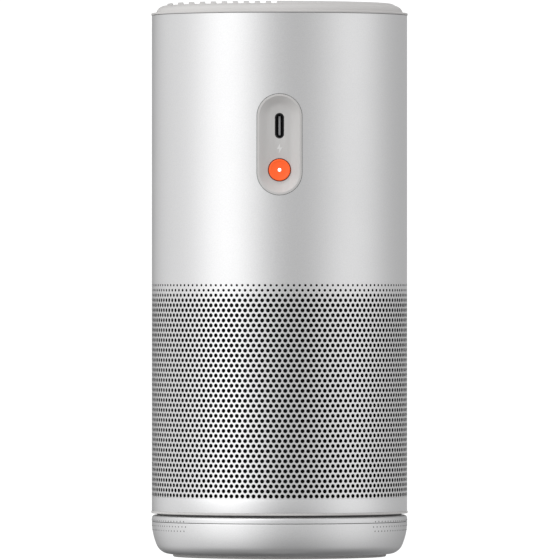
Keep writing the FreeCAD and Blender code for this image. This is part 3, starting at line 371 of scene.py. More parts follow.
def painted_shade_inside(material, radius):
    """Painted shade: paints everything nearer the Z axis than a radius dull black, so the hole
    walls and the inside show the shade that falls there.
    """
    tree = material.node_tree
    shader = tree.nodes["Principled BSDF"]
    place = tree.nodes.new("ShaderNodeTexCoord")
    flat = node_of(tree, "ShaderNodeVectorMath", operation="MULTIPLY")
    flat.inputs[1].default_value = (1, 1, 0)
    link(tree, place.outputs["Object"], flat.inputs[0])
    reach = node_of(tree, "ShaderNodeVectorMath", operation="LENGTH")
    link(tree, flat.outputs["Vector"], reach.inputs[0])
    outside = node_of(tree, "ShaderNodeMapRange")
    outside.inputs["From Min"].default_value = (radius - 0.02) * MM
    outside.inputs["From Max"].default_value = (radius + 0.02) * MM
    link(tree, reach.outputs["Value"], outside.inputs["Value"])
    # painted shade: near-black colour for the hole walls and the inside of the sleeve
    paint = node_of(tree, "ShaderNodeMix", data_type="RGBA")
    paint.inputs[6].default_value = (0.006, 0.006, 0.006, 1)
    link(tree, outside.outputs["Result"], paint.inputs[0])
    link(tree, shader.inputs["Base Color"].links[0].from_socket, paint.inputs[7])
    link(tree, paint.outputs[2], shader.inputs["Base Color"])
    link(tree, outside.outputs["Result"], shader.inputs["Metallic"])
    rough = node_of(tree, "ShaderNodeMix", data_type="FLOAT")
    rough.inputs[2].default_value = 0.95
    link(tree, outside.outputs["Result"], rough.inputs[0])
    link(tree, shader.inputs["Roughness"].links[0].from_socket, rough.inputs[3])
    link(tree, rough.outputs[0], shader.inputs["Roughness"])


# ---------------------------------------------------------------- sleeve


PITCHES = 140
ROWS = 43
ROW_STEP = 1.79
TOP_ROW = 97.73
HOLE = 0.74
FADING_HOLES = (0.445, 0.52, 0.63, 0.705)
STEP = math.tau * SHELL / PITCHES


def holed_cell(radius):
    """One cell of the sheet, flat in the XZ plane: a round hole in a rectangle whose edges have
    points at the corners, the middles and the quarters, so shifted rows meet point to point."""
    pick_nothing()
    bpy.ops.mesh.primitive_circle_add(
        vertices=12, radius=radius * MM, fill_type="NOTHING", rotation=(math.pi / 2, 0, 0)
    )
    cell = named("holed_cell")
    bpy.ops.object.transform_apply(location=True, rotation=True, scale=True)
    bpy.ops.object.mode_set(mode="EDIT")
    bpy.ops.mesh.select_all(action="SELECT")
    bpy.ops.mesh.extrude_edges_move(TRANSFORM_OT_translate={"value": (0, 0, 0)})
    wide = STEP / 2 * MM
    high = ROW_STEP / 2 * MM
    reach = wide * 1.3
    bpy.ops.transform.resize(
        value=(wide / (radius * MM), 1, reach / (radius * MM)), center_override=(0, 0, 0)
    )
    for low, size, axis in ((0.4, (1, 1, 0), 2), (0.8, (0, 1, 1), 0)):
        for sign in (1, -1):
            limit = low * (reach if axis == 2 else wide)
            pick_points(cell, lambda co: co[axis] * sign > limit and co.length > radius * 1.02 * MM)
            centre = [0, 0, 0]
            centre[axis] = sign * (high if axis == 2 else wide)
            bpy.ops.transform.resize(value=size, center_override=centre)
    leave_edit()
    return cell


def holed_row(radius, index):
    """One row of cells, moved to its height, every other one half a cell along."""
    cell = holed_cell(radius)
    row = cell.modifiers.new("along", "ARRAY")
    row.count = PITCHES
    row.relative_offset_displace = (1, 0, 0)
    row.use_merge_vertices = True
    row.merge_threshold = WELD
    apply_all(cell)
    shift = STEP / 2 if index % 2 else 0
    start = -STEP * PITCHES / 2 + STEP / 2 + shift
    cell.location = (start * MM, 0, (TOP_ROW - index * ROW_STEP) * MM)
    bpy.ops.object.transform_apply(location=True, rotation=True, scale=True)
    return cell


def wrapped(sheet):
    """Bends a flat sheet round the Z axis into a closed tube of the sleeve's radius."""
    length = STEP * PITCHES * MM
    extent = max(v.co.x for v in sheet.data.vertices) - min(v.co.x for v in sheet.data.vertices)
    bend = sheet.modifiers.new("wrap", "SIMPLE_DEFORM")
    bend.deform_method = "BEND"
    bend.deform_axis = "Z"
    bend.angle = math.tau * extent / length
    apply_all(sheet)
    edit(sheet)
    bpy.ops.mesh.select_all(action="SELECT")
    bpy.ops.transform.translate(value=(0, -SHELL * MM, 0))
    bpy.ops.mesh.remove_doubles(threshold=WELD)
    bpy.ops.mesh.normals_make_consistent(inside=False)
    leave_edit()
    return sheet


def walled(sheet, thickness=WALL):
    """Gives a sheet its wall, inwards."""
    wall = sheet.modifiers.new("wall", "SOLIDIFY")
    wall.thickness = thickness * MM
    wall.offset = -1
    wall.use_even_offset = False
    apply_all(sheet)
    return sheet


def make_holed_bands(finish):
    """The perforated lower half of the sleeve, in three bands that meet row to row."""
    bands = []
    for band, (first, last) in enumerate(((0, 14), (14, 28), (28, ROWS))):
        rows = []
        for index in range(first, last):
            radius = FADING_HOLES[index] if index < len(FADING_HOLES) else HOLE
            rows.append(holed_row(radius, index))
        sheet = joined("sleeve_holes_" + "abc"[band], rows)
        walled(wrapped(sheet))
        bands.append(finished(sheet, "housing", finish, smooth=40))
    return bands


def plain_band(name, low, high):
    """A smooth stretch of the sleeve's outer face, its points in line with the holed rows'."""
    pick_nothing()
    bpy.ops.mesh.primitive_cylinder_add(
        vertices=PITCHES * 2,
        radius=SHELL * MM,
        depth=(high - low) * MM,
        location=(0, 0, (high + low) / 2 * MM),
        end_fill_type="NOTHING",
    )
    band = named(name)
    bpy.ops.object.transform_apply(location=True, rotation=True, scale=True)
    return band


def make_sleeve(finish, box):
    """The smooth upper and lower stretches of the sleeve, and the holed bands between them."""
    low, high = box[0].z / MM, box[1].z / MM
    holes_top = TOP_ROW + ROW_STEP / 2
    holes_low = TOP_ROW - (ROWS - 0.5) * ROW_STEP
    upper = plain_band("sleeve_upper", holes_top, high)
    for height in (holes_top + 1, 126.0, 169.0, high - 1):
        edit(upper)
        bpy.ops.mesh.select_all(action="SELECT")
        bpy.ops.mesh.bisect(plane_co=(0, 0, height * MM), plane_no=(0, 0, 1))
        leave_edit()
    walled(upper)
    window = stadium_block("window", 16.3, 36.3, -50, -40, 0, 147.9, 96)
    carved(upper, window)
    bevelled(upper, 0.14, 2, 50)
    even_shading(upper)
    lower = walled(plain_band("sleeve_lower", low, holes_low))
    bevelled(lower, 0.12, 2, 50)
    pieces = make_holed_bands(finish)
    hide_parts("outer_shell")
    finished(upper, "housing", finish, smooth=0)
    finished(lower, "housing", finish, smooth=40)


# ---------------------------------------------------------------- cap


RIB_PITCH = 3.94
RIB_HALF = 0.95
RIBS = 10
MIC_CIRCLE = 33.49
MIC_PLACE = RIB_PITCH * 5.5


def make_cap(finish, box):
    """The cap: its lip, rounded shoulder and flat, with ribs on the left half and a flush plate on
    the right."""
    top = box[1].z / MM
    floor = top - 0.8
    lip_top = floor - 2.65
    lip_low = lip_top - 0.75
    outline = Lathe("cap_body", 43.1, lip_low - 4.3)
    outline.line(44.7, lip_low - 4.3).line(44.7, lip_low).line(46.05, lip_low)
    outline.arc(46.2, lip_low + 0.15, 0.15, 3).line(46.2, lip_top - 0.3).arc(45.9, lip_top, 0.3, 5)
    outline.line(44.75, lip_top).arc(44.4, lip_top + 0.25, -0.3, 4)
    outline.arc(41.0, floor, 3.3, 14).line(20.0, floor).line(0, floor)
    outline.line(0, floor - 1.6).line(43.1, floor - 1.6).close()
    body = outline.turn(256)
    ribs = []
    drop, edge, side = 0.9, 2.4, 41.9
    round_edge = (edge * edge + drop * drop) / (drop * 2)
    crown = Lathe("cap_crown", 0, floor - 0.8)
    crown.line(side, floor - 0.8).line(side, floor - 0.1)
    crown.arc(side - edge, top, round_edge, 12).line(20.0, top).line(0, top)
    crown = crown.turn(256)
    keep = [(-RIB_PITCH * i - RIB_HALF, -RIB_PITCH * i + RIB_HALF) for i in range(1, RIBS + 1)]
    keep.append((-RIB_HALF, 50.0))
    for low_x, high_x in keep:
        pick_nothing()
        bpy.ops.mesh.primitive_cube_add(size=1, location=((low_x + high_x) / 2 * MM, 0, floor * MM))
        rib = named("rib")
        rib.scale = ((high_x - low_x) * MM, 90 * MM, 6 * MM)
        bpy.ops.object.transform_apply(location=True, rotation=True, scale=True)
        ribs.append(rib)
    blocks = joined("ribs", ribs)
    combined(crown, blocks, "INTERSECT")
    bevelled(crown, 0.16, 3, 40)
    combined(body, crown, "UNION")
    holes = []
    along = math.sqrt(MIC_CIRCLE**2 - MIC_PLACE**2)
    for x in (-MIC_PLACE, MIC_PLACE):
        for y in (-along, along):
            pick_nothing()
            bpy.ops.mesh.primitive_cylinder_add(
                vertices=24, radius=0.45 * MM, depth=8 * MM, location=(x * MM, y * MM, floor * MM)
            )
            holes.append(named("mic_hole"))
    carved(body, joined("mic_holes", holes))
    body.name = body.data.name = "cap"
    return finished(body, "housing", finish, ("top_cap",), 30)


# ---------------------------------------------------------------- base


CUP_TOP = 12.6
SIDE_CENTRE = 25.0
SIDE_CURVE = 21.0
SCREW_CIRCLE = 24.0


def make_base(silver, warm, rubber):
    """The trim ring, base ring, cup and foot, each turned from its outline."""
    trim = Lathe("trim_ring", 44.1, 15.65).line(45.95, 15.65).arc(46.2, 15.9, 0.25, 4)
    trim.line(46.2, 16.3).arc(46.05, 16.45, 0.15, 3).line(44.1, 16.45).close()
    finished(trim.turn(), "housing", warm, ("lower_trim_ring",), 30)
    ring = Lathe("base_ring_round", 44.1, 12.8).line(45.93, 12.8).arc(46.0, 12.87, 0.07, 3)
    ring.line(46.0, 13.9).arc(44.9, 15.0, 1.1, 10).line(44.1, 15.0).close()
    finished(ring.turn(), "housing", silver, ("base_ring",), 30)
    cup = Lathe("cup", 0, 1.0).line(30.3, 1.0).line(30.3, 1.8).line(38.5, 1.8).line(38.5, 1.05)
    cup.arc(38.55, 1.0, 0.05, 2).line(39.38, 1.0)
    corner = 5.3
    drop = CUP_TOP - 6.3
    corner_x = SIDE_CENTRE + math.sqrt((SIDE_CURVE - corner) ** 2 - drop**2)
    meet_x = SIDE_CENTRE + (corner_x - SIDE_CENTRE) * SIDE_CURVE / (SIDE_CURVE - corner)
    meet_z = CUP_TOP - drop * SIDE_CURVE / (SIDE_CURVE - corner)
    cup.arc(meet_x, meet_z, corner, 14).arc(46.0, 12.53, SIDE_CURVE, 16)
    cup.arc(45.93, CUP_TOP, 0.07, 3).line(43.2, CUP_TOP).line(43.2, 6.3)
    cup.arc(37.9, 3.4, -5.3, 6).line(0, 3.4)
    cup = cup.turn(320)
    heads = []
    for i in range(3):
        turn = math.radians(90 + 120 * i)
        for radius, depth in ((2.6, 2.8), (1.55, 12.0)):
            pick_nothing()
            out = SCREW_CIRCLE * MM
            bpy.ops.mesh.primitive_cylinder_add(
                vertices=40,
                radius=radius * MM,
                depth=depth * MM,
                location=(out * math.cos(turn), out * math.sin(turn), 1.0 * MM),
            )
            heads.append(named("screw_hole"))
    for head in heads:
        carved(cup, head)
    finished(cup, "housing", silver, ("base_cup",), 30)
    foot = Lathe("foot_ring", 30.4, 0.3).arc(30.7, 0, 0.3, 4).line(37.9, 0).arc(38.4, 0.5, 0.5, 6)
    foot.line(38.4, 1.8).line(30.4, 1.8).close()
    finished(foot.turn(), "housing", rubber, ("foot_pad",), 30)


def cup_side(z):
    """The cup's radius at a height on its side."""
    return SIDE_CENTRE + math.sqrt(SIDE_CURVE**2 - (CUP_TOP - z) ** 2)


def make_hole_shade_dots(finish):
    """Three staggered rows of tiny dark dots round the base, left out at the front: painted shade,
    standing in for the shade inside tiny holes.
    """
    pick_nothing()
    bpy.ops.mesh.primitive_cylinder_add(
        vertices=10, radius=0.26 * MM, depth=0.5 * MM, rotation=(0, math.pi / 2, 0)
    )
    first = named("hole_shade_dot")
    bpy.ops.object.transform_apply(location=True, rotation=True, scale=True)
    edit(first)
    pick_points(first, lambda co: co.x > 0.1 * MM)
    bpy.ops.mesh.inset(thickness=0.06 * MM)
    bpy.ops.transform.translate(value=(0.02 * MM, 0, 0))
    leave_edit()
    dots = [first]
    half, around = 133, 112
    for row, z in enumerate((13.2, 11.35, 9.8)):
        shift = 0.5 * ((row + 1) % 2)
        for i in range(around + 1 - (row + 1) % 2):
            turn = math.radians(90 - half + (i + shift) * 2 * half / around)
            pick_only(first)
            bpy.ops.object.duplicate()
            dot = bpy.context.object
            on_side = min(z, CUP_TOP)
            out = (cup_side(on_side) - 0.235) * MM
            dot.location = (out * math.cos(turn), out * math.sin(turn), z * MM)
            dot.rotation_euler = (0, math.asin((CUP_TOP - on_side) / SIDE_CURVE), turn)
            dots.append(dot)
    bpy.data.objects.remove(dots.pop(0))
    return finished(joined("hole_shade_dots", dots), "housing", finish, (), 30)


# ---------------------------------------------------------------- panel, port and button


PANEL_Z = 147.9
PANEL_WIDTH = 16.0
PANEL_LENGTH = 36.0
PANEL_FLOOR = -43.7
PANEL_BACK = -42.3
PANEL_POINTS = 112
PORT_X = 0.0
PORT_Z = 154.55
BUTTON_Z = 138.83
SCOOP = (
    (0.0, 0.0),
    (0.25, 0.0),
    (0.78, 0.0),
    (0.86, 0.04),
    (1.2, 0.15),
    (1.7, 0.33),
    (2.3, 0.55),
    (2.9, 0.75),
    (3.4, 0.88),
    (3.9, 0.96),
    (4.6, 1.0),
)


def pick_run(piece, first, last):
    """In edit mode, selects the points from first up to last by their order, and their edges."""
    bpy.ops.object.mode_set(mode="OBJECT")
    for point in piece.data.vertices:
        point.select = first <= point.index < last
    for edge in piece.data.edges:
        edge.select = all(piece.data.vertices[i].select for i in edge.vertices)
    for face in piece.data.polygons:
        face.select = False
    bpy.ops.object.mode_set(mode="EDIT")


def draw_in(panel, before, inset, share):
    """Extrudes the panel's last loop inwards, from one inset to the next, and sets it a share of
    the way from the sleeve's face down to the panel's floor."""
    total = len(panel.data.vertices)
    pick_run(panel, total - PANEL_POINTS, total)
    bpy.ops.mesh.extrude_edges_move(TRANSFORM_OT_translate={"value": (0, 0, 0)})
    bpy.ops.object.mode_set(mode="OBJECT")
    factor = (PANEL_WIDTH / 2 - inset) / (PANEL_WIDTH / 2 - before)
    half = (PANEL_LENGTH - PANEL_WIDTH) / 2 * MM
    for point in list(panel.data.vertices)[total:]:
        end = math.copysign(half, point.co.z)
        point.co.x *= factor
        point.co.z = end + (point.co.z - end) * factor
        face = -math.sqrt((SHELL * MM) ** 2 - point.co.x**2)
        point.co.y = face * (1 - share) + PANEL_FLOOR * MM * share
    bpy.ops.object.mode_set(mode="EDIT")


def make_panel(finish):
    """The recessed panel: a rim that follows the sleeve, and a scoop easing into a flat floor."""
    pick_nothing()
    bpy.ops.mesh.primitive_circle_add(
        vertices=PANEL_POINTS,
        radius=PANEL_WIDTH / 2 * MM,
        fill_type="NOTHING",
        rotation=(math.pi / 2, 0, 0),
    )
    panel = named("panel")
    bpy.ops.object.transform_apply(location=True, rotation=True, scale=True)
    panel.data.transform(Matrix.Rotation(math.pi / PANEL_POINTS, 4, "Y"))
    bpy.ops.object.mode_set(mode="EDIT")
    stadium_ring(panel, PANEL_WIDTH, PANEL_LENGTH)
    bpy.ops.object.mode_set(mode="OBJECT")
    bpy.ops.object.mode_set(mode="EDIT")
    before = 0
    for inset, share in SCOOP:
        draw_in(panel, before, inset, share)
        before = inset
    bpy.ops.object.mode_set(mode="OBJECT")
    for point in list(panel.data.vertices)[:PANEL_POINTS]:
        point.co.y = PANEL_BACK * MM
    total = len(panel.data.vertices)
    bpy.ops.object.mode_set(mode="EDIT")
    for first in (0, total - PANEL_POINTS):
        pick_run(panel, first, first + PANEL_POINTS)
        bpy.ops.mesh.edge_face_add()
    bpy.ops.mesh.select_all(action="SELECT")
    bpy.ops.mesh.normals_make_consistent(inside=False)
    bpy.ops.transform.translate(value=(0, 0, PANEL_Z * MM))
    leave_edit()
    slot = stadium_block("slot", 3.3, 9.1, -46, -40, PORT_X, PORT_Z)
    pick_nothing()
    bpy.ops.mesh.primitive_cylinder_add(
        vertices=96,
        radius=4.14 * MM,
        depth=8 * MM,
        location=(0, -43 * MM, BUTTON_Z * MM),
        rotation=(math.pi / 2, 0, 0),
    )
    carved(panel, slot, named("button_hole"))
    bevelled(panel, 0.12, 3, 50)
    return finished(panel, "housing", finish, ("port_panel",), 40)


def make_button(orange, light):
    """The round button: a flange that holds it behind the panel, a raised rim, a dished face and
    a lit dot in the middle."""
    face = Lathe("button", 0.62, -2.3).line(4.7, -2.3).line(4.7, -1.5).line(3.82, -1.5)
    face.line(3.82, 0.25).arc(3.62, 0.45, 0.2, 5)
    face.line(3.4, 0.48).arc(3.15, 0.4, 0.5, 4).line(2.95, 0.32).line(1.4, 0.28).line(0.72, 0.28)
    face.arc(0.62, 0.18, -0.1, 3).close()
    button = face_forward(face.turn(128), PANEL_FLOOR, BUTTON_Z)
    tidy_faces(button)
    finished(button, "power_button_body", orange, ("power_button",), 30)
    dot = Lathe("button_light", 0, -2.3).line(0.6, -2.3).line(0.6, 0.12)
    dot.arc(0.48, 0.24, 0.12, 4).line(0, 0.28)
    dot = face_forward(dot.turn(48), PANEL_FLOOR, BUTTON_Z)
    tidy_faces(dot)
    finished(dot, "power_button_body", light, ("button_light_pipe",), 40)


def make_button_gap_shade(rubber):
    """A dark rubber ring just under the surface in the gap round the button: painted shade,
    standing in for the shade in that gap.
    """
    ring = Lathe("button_gap_shade", 3.86, -1.3)
    ring.line(4.16, -1.3).line(4.16, -0.45).line(3.86, -0.45).close()
    gap_shade = face_forward(ring.turn(96), PANEL_FLOOR, BUTTON_Z)
    tidy_faces(gap_shade)
    return finished(gap_shade, "housing", rubber, (), 30)


def make_bolt(finish):
    """The charging symbol, a thin raised zigzag on the panel's floor."""
    pick_nothing()
    bpy.ops.mesh.primitive_plane_add(size=MM)
    bolt = named("charge_symbol")
    bpy.ops.object.mode_set(mode="EDIT")
    bpy.ops.mesh.select_all(action="SELECT")
    bpy.ops.mesh.merge(type="CENTER")
    corners = ((0.3, 1.85), (-1.0, -0.28), (-0.08, -0.28), (-0.3, -1.85), (1.0, 0.33), (0.1, 0.33))
    bpy.ops.transform.translate(value=(corners[0][0] * MM, 0, corners[0][1] * MM))
    at = corners[0]
    for x, z in corners[1:] + corners[:1]:
        bpy.ops.mesh.extrude_vertices_move(
            TRANSFORM_OT_translate={"value": ((x - at[0]) * MM, 0, (z - at[1]) * MM)}
        )
        at = (x, z)
    bpy.ops.mesh.select_all(action="SELECT")
    bpy.ops.mesh.remove_doubles(threshold=0.000001)
    bpy.ops.mesh.edge_face_add()
    bpy.ops.mesh.extrude_region_move(TRANSFORM_OT_translate={"value": (0, 0.2 * MM, 0)})
    bpy.ops.mesh.select_all(action="SELECT")
    bpy.ops.mesh.normals_make_consistent(inside=False)
    bpy.ops.transform.translate(value=(0, -43.72 * MM, 146.5 * MM))
    leave_edit()
    return finished(bolt, "housing", finish, (), 20)


# ---------------------------------------------------------------- finishes


def metal_finishes():
    """The finishes of bare and coated metal."""
    return {
        "shell_aluminium": finish_of(
            "blasted_aluminium_shaded_inside", (0.87, 0.87, 0.875), (0.69, 0.69, 0.695),
            metallic=1.0, roughness=(0.38, 0.42), grain=2600, clouds=25,
            bump=0.5, bump_depth=0.02, speckle=0.8,
        ),
        "base_aluminium": finish_of(
            "satin_silver", (0.88, 0.88, 0.885), (0.70, 0.70, 0.705),
            metallic=1.0, roughness=(0.44, 0.49), grain=2600, clouds=30,
            bump=0.5, bump_depth=0.02, speckle=0.8,
        ),
        "ballast_steel": finish_of(
            "zinc_plate", (0.45, 0.45, 0.43), (0.36, 0.37, 0.38),
            metallic=1.0, roughness=(0.35, 0.6), grain=2000, clouds=120,
            bump=0.3, bump_depth=0.02,
        ),
        "screw_steel": finish_of(
            "screw_steel", (0.42, 0.42, 0.43), (0.36, 0.36, 0.37),
            metallic=1.0, roughness=(0.3, 0.45), grain=4000, clouds=200,
            bump=0.2, bump_depth=0.02,
        ),
        "tinned_steel": finish_of(
            "tinned_steel", (0.66, 0.66, 0.63), (0.58, 0.58, 0.56),
            metallic=1.0, roughness=(0.25, 0.4), grain=3000, clouds=120,
            bump=0.2, bump_depth=0.02,
        ),
        # painted shade: the socket steel is near black so the port reads as a dark recess
        "socket_steel_painted_shade": finish_of(
            "socket_steel_painted_shade", (0.05, 0.05, 0.052), (0.035, 0.035, 0.036),
            metallic=0.6, roughness=(0.45, 0.6), grain=5000, clouds=200,
            bump=0.2, bump_depth=0.01,
        ),
        "spreader_aluminium": finish_of(
            "mill_aluminium", (0.72, 0.72, 0.73), (0.66, 0.66, 0.67),
            metallic=1.0, roughness=(0.35, 0.5), grain=2500, clouds=90,
            bump=0.25, bump_depth=0.02,
        ),
        "driver_frame_steel": finish_of(
            "black_coated_steel", (0.018, 0.018, 0.018), (0.026, 0.026, 0.026),
            metallic=0.0, roughness=(0.35, 0.5), grain=4000, clouds=90,
            bump=0.3, bump_depth=0.02,
        ),
        "magnet_iron": finish_of(
            "sintered_magnet", (0.05, 0.05, 0.052), (0.08, 0.08, 0.082),
            metallic=0.3, roughness=(0.5, 0.7), grain=1500, clouds=120,
            bump=0.5, bump_depth=0.03,
        ),
        "cone_aluminium": finish_of(
            "spun_cone", (0.62, 0.62, 0.64), (0.56, 0.56, 0.58),
            metallic=1.0, roughness=(0.28, 0.38), grain=3000, clouds=90,
            bump=0.15, bump_depth=0.02,
        ),
        "radiator_steel": finish_of(
            "satin_plate", (0.35, 0.35, 0.36), (0.30, 0.30, 0.31),
            metallic=1.0, roughness=(0.35, 0.45), grain=3000, clouds=90,
            bump=0.15, bump_depth=0.02,
        ),
    }


def plastic_finishes():
    """The finishes of moulded plastic and film."""
    return {
        "warm_grey_plastic": finish_of(
            "warm_grey_plastic", (0.60, 0.588, 0.58), (0.575, 0.565, 0.557),
            metallic=0.0, roughness=(0.42, 0.5), grain=9000, clouds=60,
            bump=0.25, bump_depth=0.01,
        ),
        "orange_plastic": finish_of(
            "orange_plastic", (0.93, 0.105, 0.010), (0.91, 0.10, 0.009),
            metallic=0.0, roughness=(0.5, 0.58), grain=9000, clouds=90,
            bump=0.2, bump_depth=0.01,
        ),
        "dark_plastic": finish_of(
            "dark_plastic", (0.085, 0.085, 0.087), (0.095, 0.095, 0.097),
            metallic=0.0, roughness=(0.5, 0.65), grain=5000, clouds=60,
            bump=0.3, bump_depth=0.02,
        ),
        "tray_plastic": finish_of(
            "tray_plastic", (0.09, 0.09, 0.095), (0.12, 0.12, 0.125),
            metallic=0.0, roughness=(0.5, 0.6), grain=5000, clouds=60,
            bump=0.3, bump_depth=0.02,
        ),
        "tongue_plastic": finish_of(
            "tongue_plastic", (0.40, 0.40, 0.41), (0.36, 0.36, 0.37),
            metallic=0.0, roughness=(0.4, 0.5), grain=6000, clouds=200,
            bump=0.2, bump_depth=0.01,
        ),
        "touch_film_plastic": finish_of(
            "amber_film", (0.55, 0.25, 0.03), (0.48, 0.20, 0.02),
            metallic=0.0, roughness=(0.2, 0.3), grain=3000, clouds=60,
            bump=0.1, bump_depth=0.01, coat=0.4,
        ),
        "cell_wrap": finish_of(
            "shrink_wrap", (0.02, 0.16, 0.30), (0.018, 0.14, 0.27),
            metallic=0.0, roughness=(0.25, 0.35), grain=1500, clouds=40,
            bump=0.1, bump_depth=0.02, coat=0.5,
        ),
        "lead_insulation": finish_of(
            "lead_insulation", (0.35, 0.015, 0.015), (0.30, 0.012, 0.012),
            metallic=0.0, roughness=(0.4, 0.5), grain=3000, clouds=90,
            bump=0.15, bump_depth=0.01,
        ),
        "board_parts": finish_of(
            "moulded_packages", (0.03, 0.03, 0.032), (0.05, 0.05, 0.052),
            metallic=0.0, roughness=(0.5, 0.6), grain=6000, clouds=100,
            bump=0.25, bump_depth=0.02,
        ),
        "circuit_board": finish_of(
            "solder_mask", (0.012, 0.12, 0.06), (0.016, 0.15, 0.075),
            metallic=0.0, roughness=(0.28, 0.36), grain=3000, clouds=150,
            bump=0.15, bump_depth=0.02, coat=0.3,
        ),
    }


def soft_finishes():
    """The finishes of rubber and cloth."""
    return {
        "foot_rubber": finish_of(
            "grey_rubber", (0.34, 0.332, 0.327), (0.30, 0.292, 0.288),
            metallic=0.0, roughness=(0.7, 0.85), grain=5000, clouds=80,
            bump=0.4, bump_depth=0.03,
        ),
        # also the dark ring of painted shade in the gap round the button
        "seal_rubber": finish_of(
            "seal_rubber", (0.03, 0.03, 0.03), (0.045, 0.045, 0.045),
            metallic=0.0, roughness=(0.75, 0.9), grain=4000, clouds=90,
            bump=0.4, bump_depth=0.03,
        ),
        "surround_rubber": finish_of(
            "surround_rubber", (0.012, 0.012, 0.012), (0.02, 0.02, 0.02),
            metallic=0.0, roughness=(0.6, 0.75), grain=4000, clouds=90,
            bump=0.2, bump_depth=0.02,
        ),
        "grille_fabric": finish_of(
            "acoustic_cloth", (0.004, 0.004, 0.004), (0.008, 0.008, 0.008),
            metallic=0.0, roughness=(0.9, 1.0), grain=2500, clouds=200,
            bump=0.6, bump_depth=0.2,
        ),
    }


def marking_finishes():
    """The finishes of the symbol, the dots of painted shade and the lit pieces."""
    return {
        "symbol_ink": finish_of(
            "symbol_ink", (0.74, 0.735, 0.73), (0.72, 0.715, 0.71),
            metallic=0.0, roughness=(0.35, 0.4), grain=9000, clouds=60,
            bump=0.1, bump_depth=0.01,
        ),
        # painted shade: the dots' dark grey stands in for the shade inside tiny holes
        "hole_shade_dots": finish_of(
            "hole_shade_dots", (0.16, 0.16, 0.16), (0.13, 0.13, 0.13),
            metallic=0.0, roughness=(0.35, 0.45), grain=9000, clouds=60,
            bump=0.1, bump_depth=0.01,
        ),
        "light_lens": finish_of(
            "milky_lens", (0.9, 0.9, 0.9), (0.86, 0.86, 0.87),
            metallic=0.0, roughness=(0.2, 0.3), grain=3000, clouds=90,
            bump=0.05, bump_depth=0.01,
        ),
    }


def make_finishes():
    """Every finish by its record slot, with what only one of them needs."""
    finishes = metal_finishes() | plastic_finishes() | soft_finishes() | marking_finishes()
    # Painted shade: the sleeve's hole walls and inside are painted near black.
    painted_shade_inside(finishes["shell_aluminium"], SHELL - 0.05)
    silver = finishes["base_aluminium"].node_tree.nodes["Principled BSDF"]
    silver.inputs["Specular Tint"].default_value = (0.55, 0.55, 0.55, 1)
    lens = finishes["light_lens"].node_tree.nodes["Principled BSDF"]
    lens.inputs["Emission Color"].default_value = (1, 1, 1, 1)
    lens.inputs["Emission Strength"].default_value = 1.2
    # Painted light: the orange button glows faintly though nothing lights it.
    orange_glow = finishes["orange_plastic"].node_tree.nodes["Principled BSDF"]
    orange_glow.inputs["Emission Color"].default_value = (1, 0.13, 0.02, 1)
    orange_glow.inputs["Emission Strength"].default_value = 0.25
    return finishes


# ---------------------------------------------------------------- studio


SKY = 0.50
LOBES = ((-47, 55, 0.88), (66, 50, 0.52), (-110, 55, 0.34), (-168, 32, -0.38), (100, 40, 0.08))
OVERHEAD = (-0.50, -0.35, 0.79)
SEEN_WHITE = 1.1


def eased(tree, value, start, end, low=0.0, high=1.0, shape="SMOOTHSTEP"):
    """Turns a value's way from start to end into a way from low to high."""
    ramp = node_of(tree, "ShaderNodeMapRange", interpolation_type=shape)
    ramp.inputs["From Min"].default_value = start
    ramp.inputs["From Max"].default_value = end
    ramp.inputs["To Min"].default_value = low
    ramp.inputs["To Max"].default_value = high
    link(tree, value, ramp.inputs["Value"])
    return ramp.outputs["Result"]


def reckoned(tree, operation, first, second=None, number=None):
    """One sum or product of two values, or of a value and a number."""
    step = node_of(tree, "ShaderNodeMath", operation=operation)
    link(tree, first, step.inputs[0])
    if second is not None:
        link(tree, second, step.inputs[1])
    if number is not None:
        step.inputs[1].default_value = number
    return step.outputs[0]


def studio_lobe(tree, heading, middle, width, strength):
    """A soft tall light in the sky: strongest at a heading, easing to nothing at its width."""
    away = reckoned(tree, "SUBTRACT", heading, number=math.radians(middle))
    span = reckoned(tree, "ABSOLUTE", away)
    return eased(tree, span, math.radians(width), 0, high=strength)


def make_sky():
    """An even pale sky with broad soft lights round the speaker and one overhead, darker towards
    the ground; the camera itself sees plain white."""
    world = bpy.data.worlds.new("studio")
    world.use_nodes = True
    bpy.context.scene.world = world
    tree = world.node_tree
    sky = tree.nodes["Background"]
    sky.inputs["Color"].default_value = (1, 1, 1, 1)
    place = tree.nodes.new("ShaderNodeTexCoord")
    parts = tree.nodes.new("ShaderNodeSeparateXYZ")
    link(tree, place.outputs["Generated"], parts.inputs[0])
    towards = reckoned(tree, "MULTIPLY", parts.outputs["Y"], number=-1)
    heading = reckoned(tree, "ARCTAN2", parts.outputs["X"], towards)
    total = studio_lobe(tree, heading, *LOBES[0])
    for lobe in LOBES[1:]:
        total = reckoned(tree, "ADD", total, studio_lobe(tree, heading, *lobe))
    level = reckoned(tree, "ADD", total, number=SKY)
    below = eased(tree, parts.outputs["Z"], -0.92, -0.25, low=0.22)
    faded = reckoned(tree, "MULTIPLY", level, below)
    table = eased(tree, parts.outputs["Z"], -0.975, -1.0, high=0.35, shape="LINEAR")
    facing = node_of(tree, "ShaderNodeVectorMath", operation="DOT_PRODUCT")
    facing.inputs[1].default_value = OVERHEAD
    link(tree, place.outputs["Generated"], facing.inputs[0])
    overhead = eased(tree, facing.outputs["Value"], 0.66, 1.0, high=0.85)
    whole = reckoned(tree, "ADD", faded, reckoned(tree, "ADD", overhead, table))
    path = tree.nodes.new("ShaderNodeLightPath")
    seen = node_of(tree, "ShaderNodeMix", data_type="FLOAT")
    link(tree, path.outputs["Is Camera Ray"], seen.inputs[0])
    link(tree, whole, seen.inputs[2])
    seen.inputs[3].default_value = SEEN_WHITE
    link(tree, seen.outputs[0], sky.inputs["Strength"])


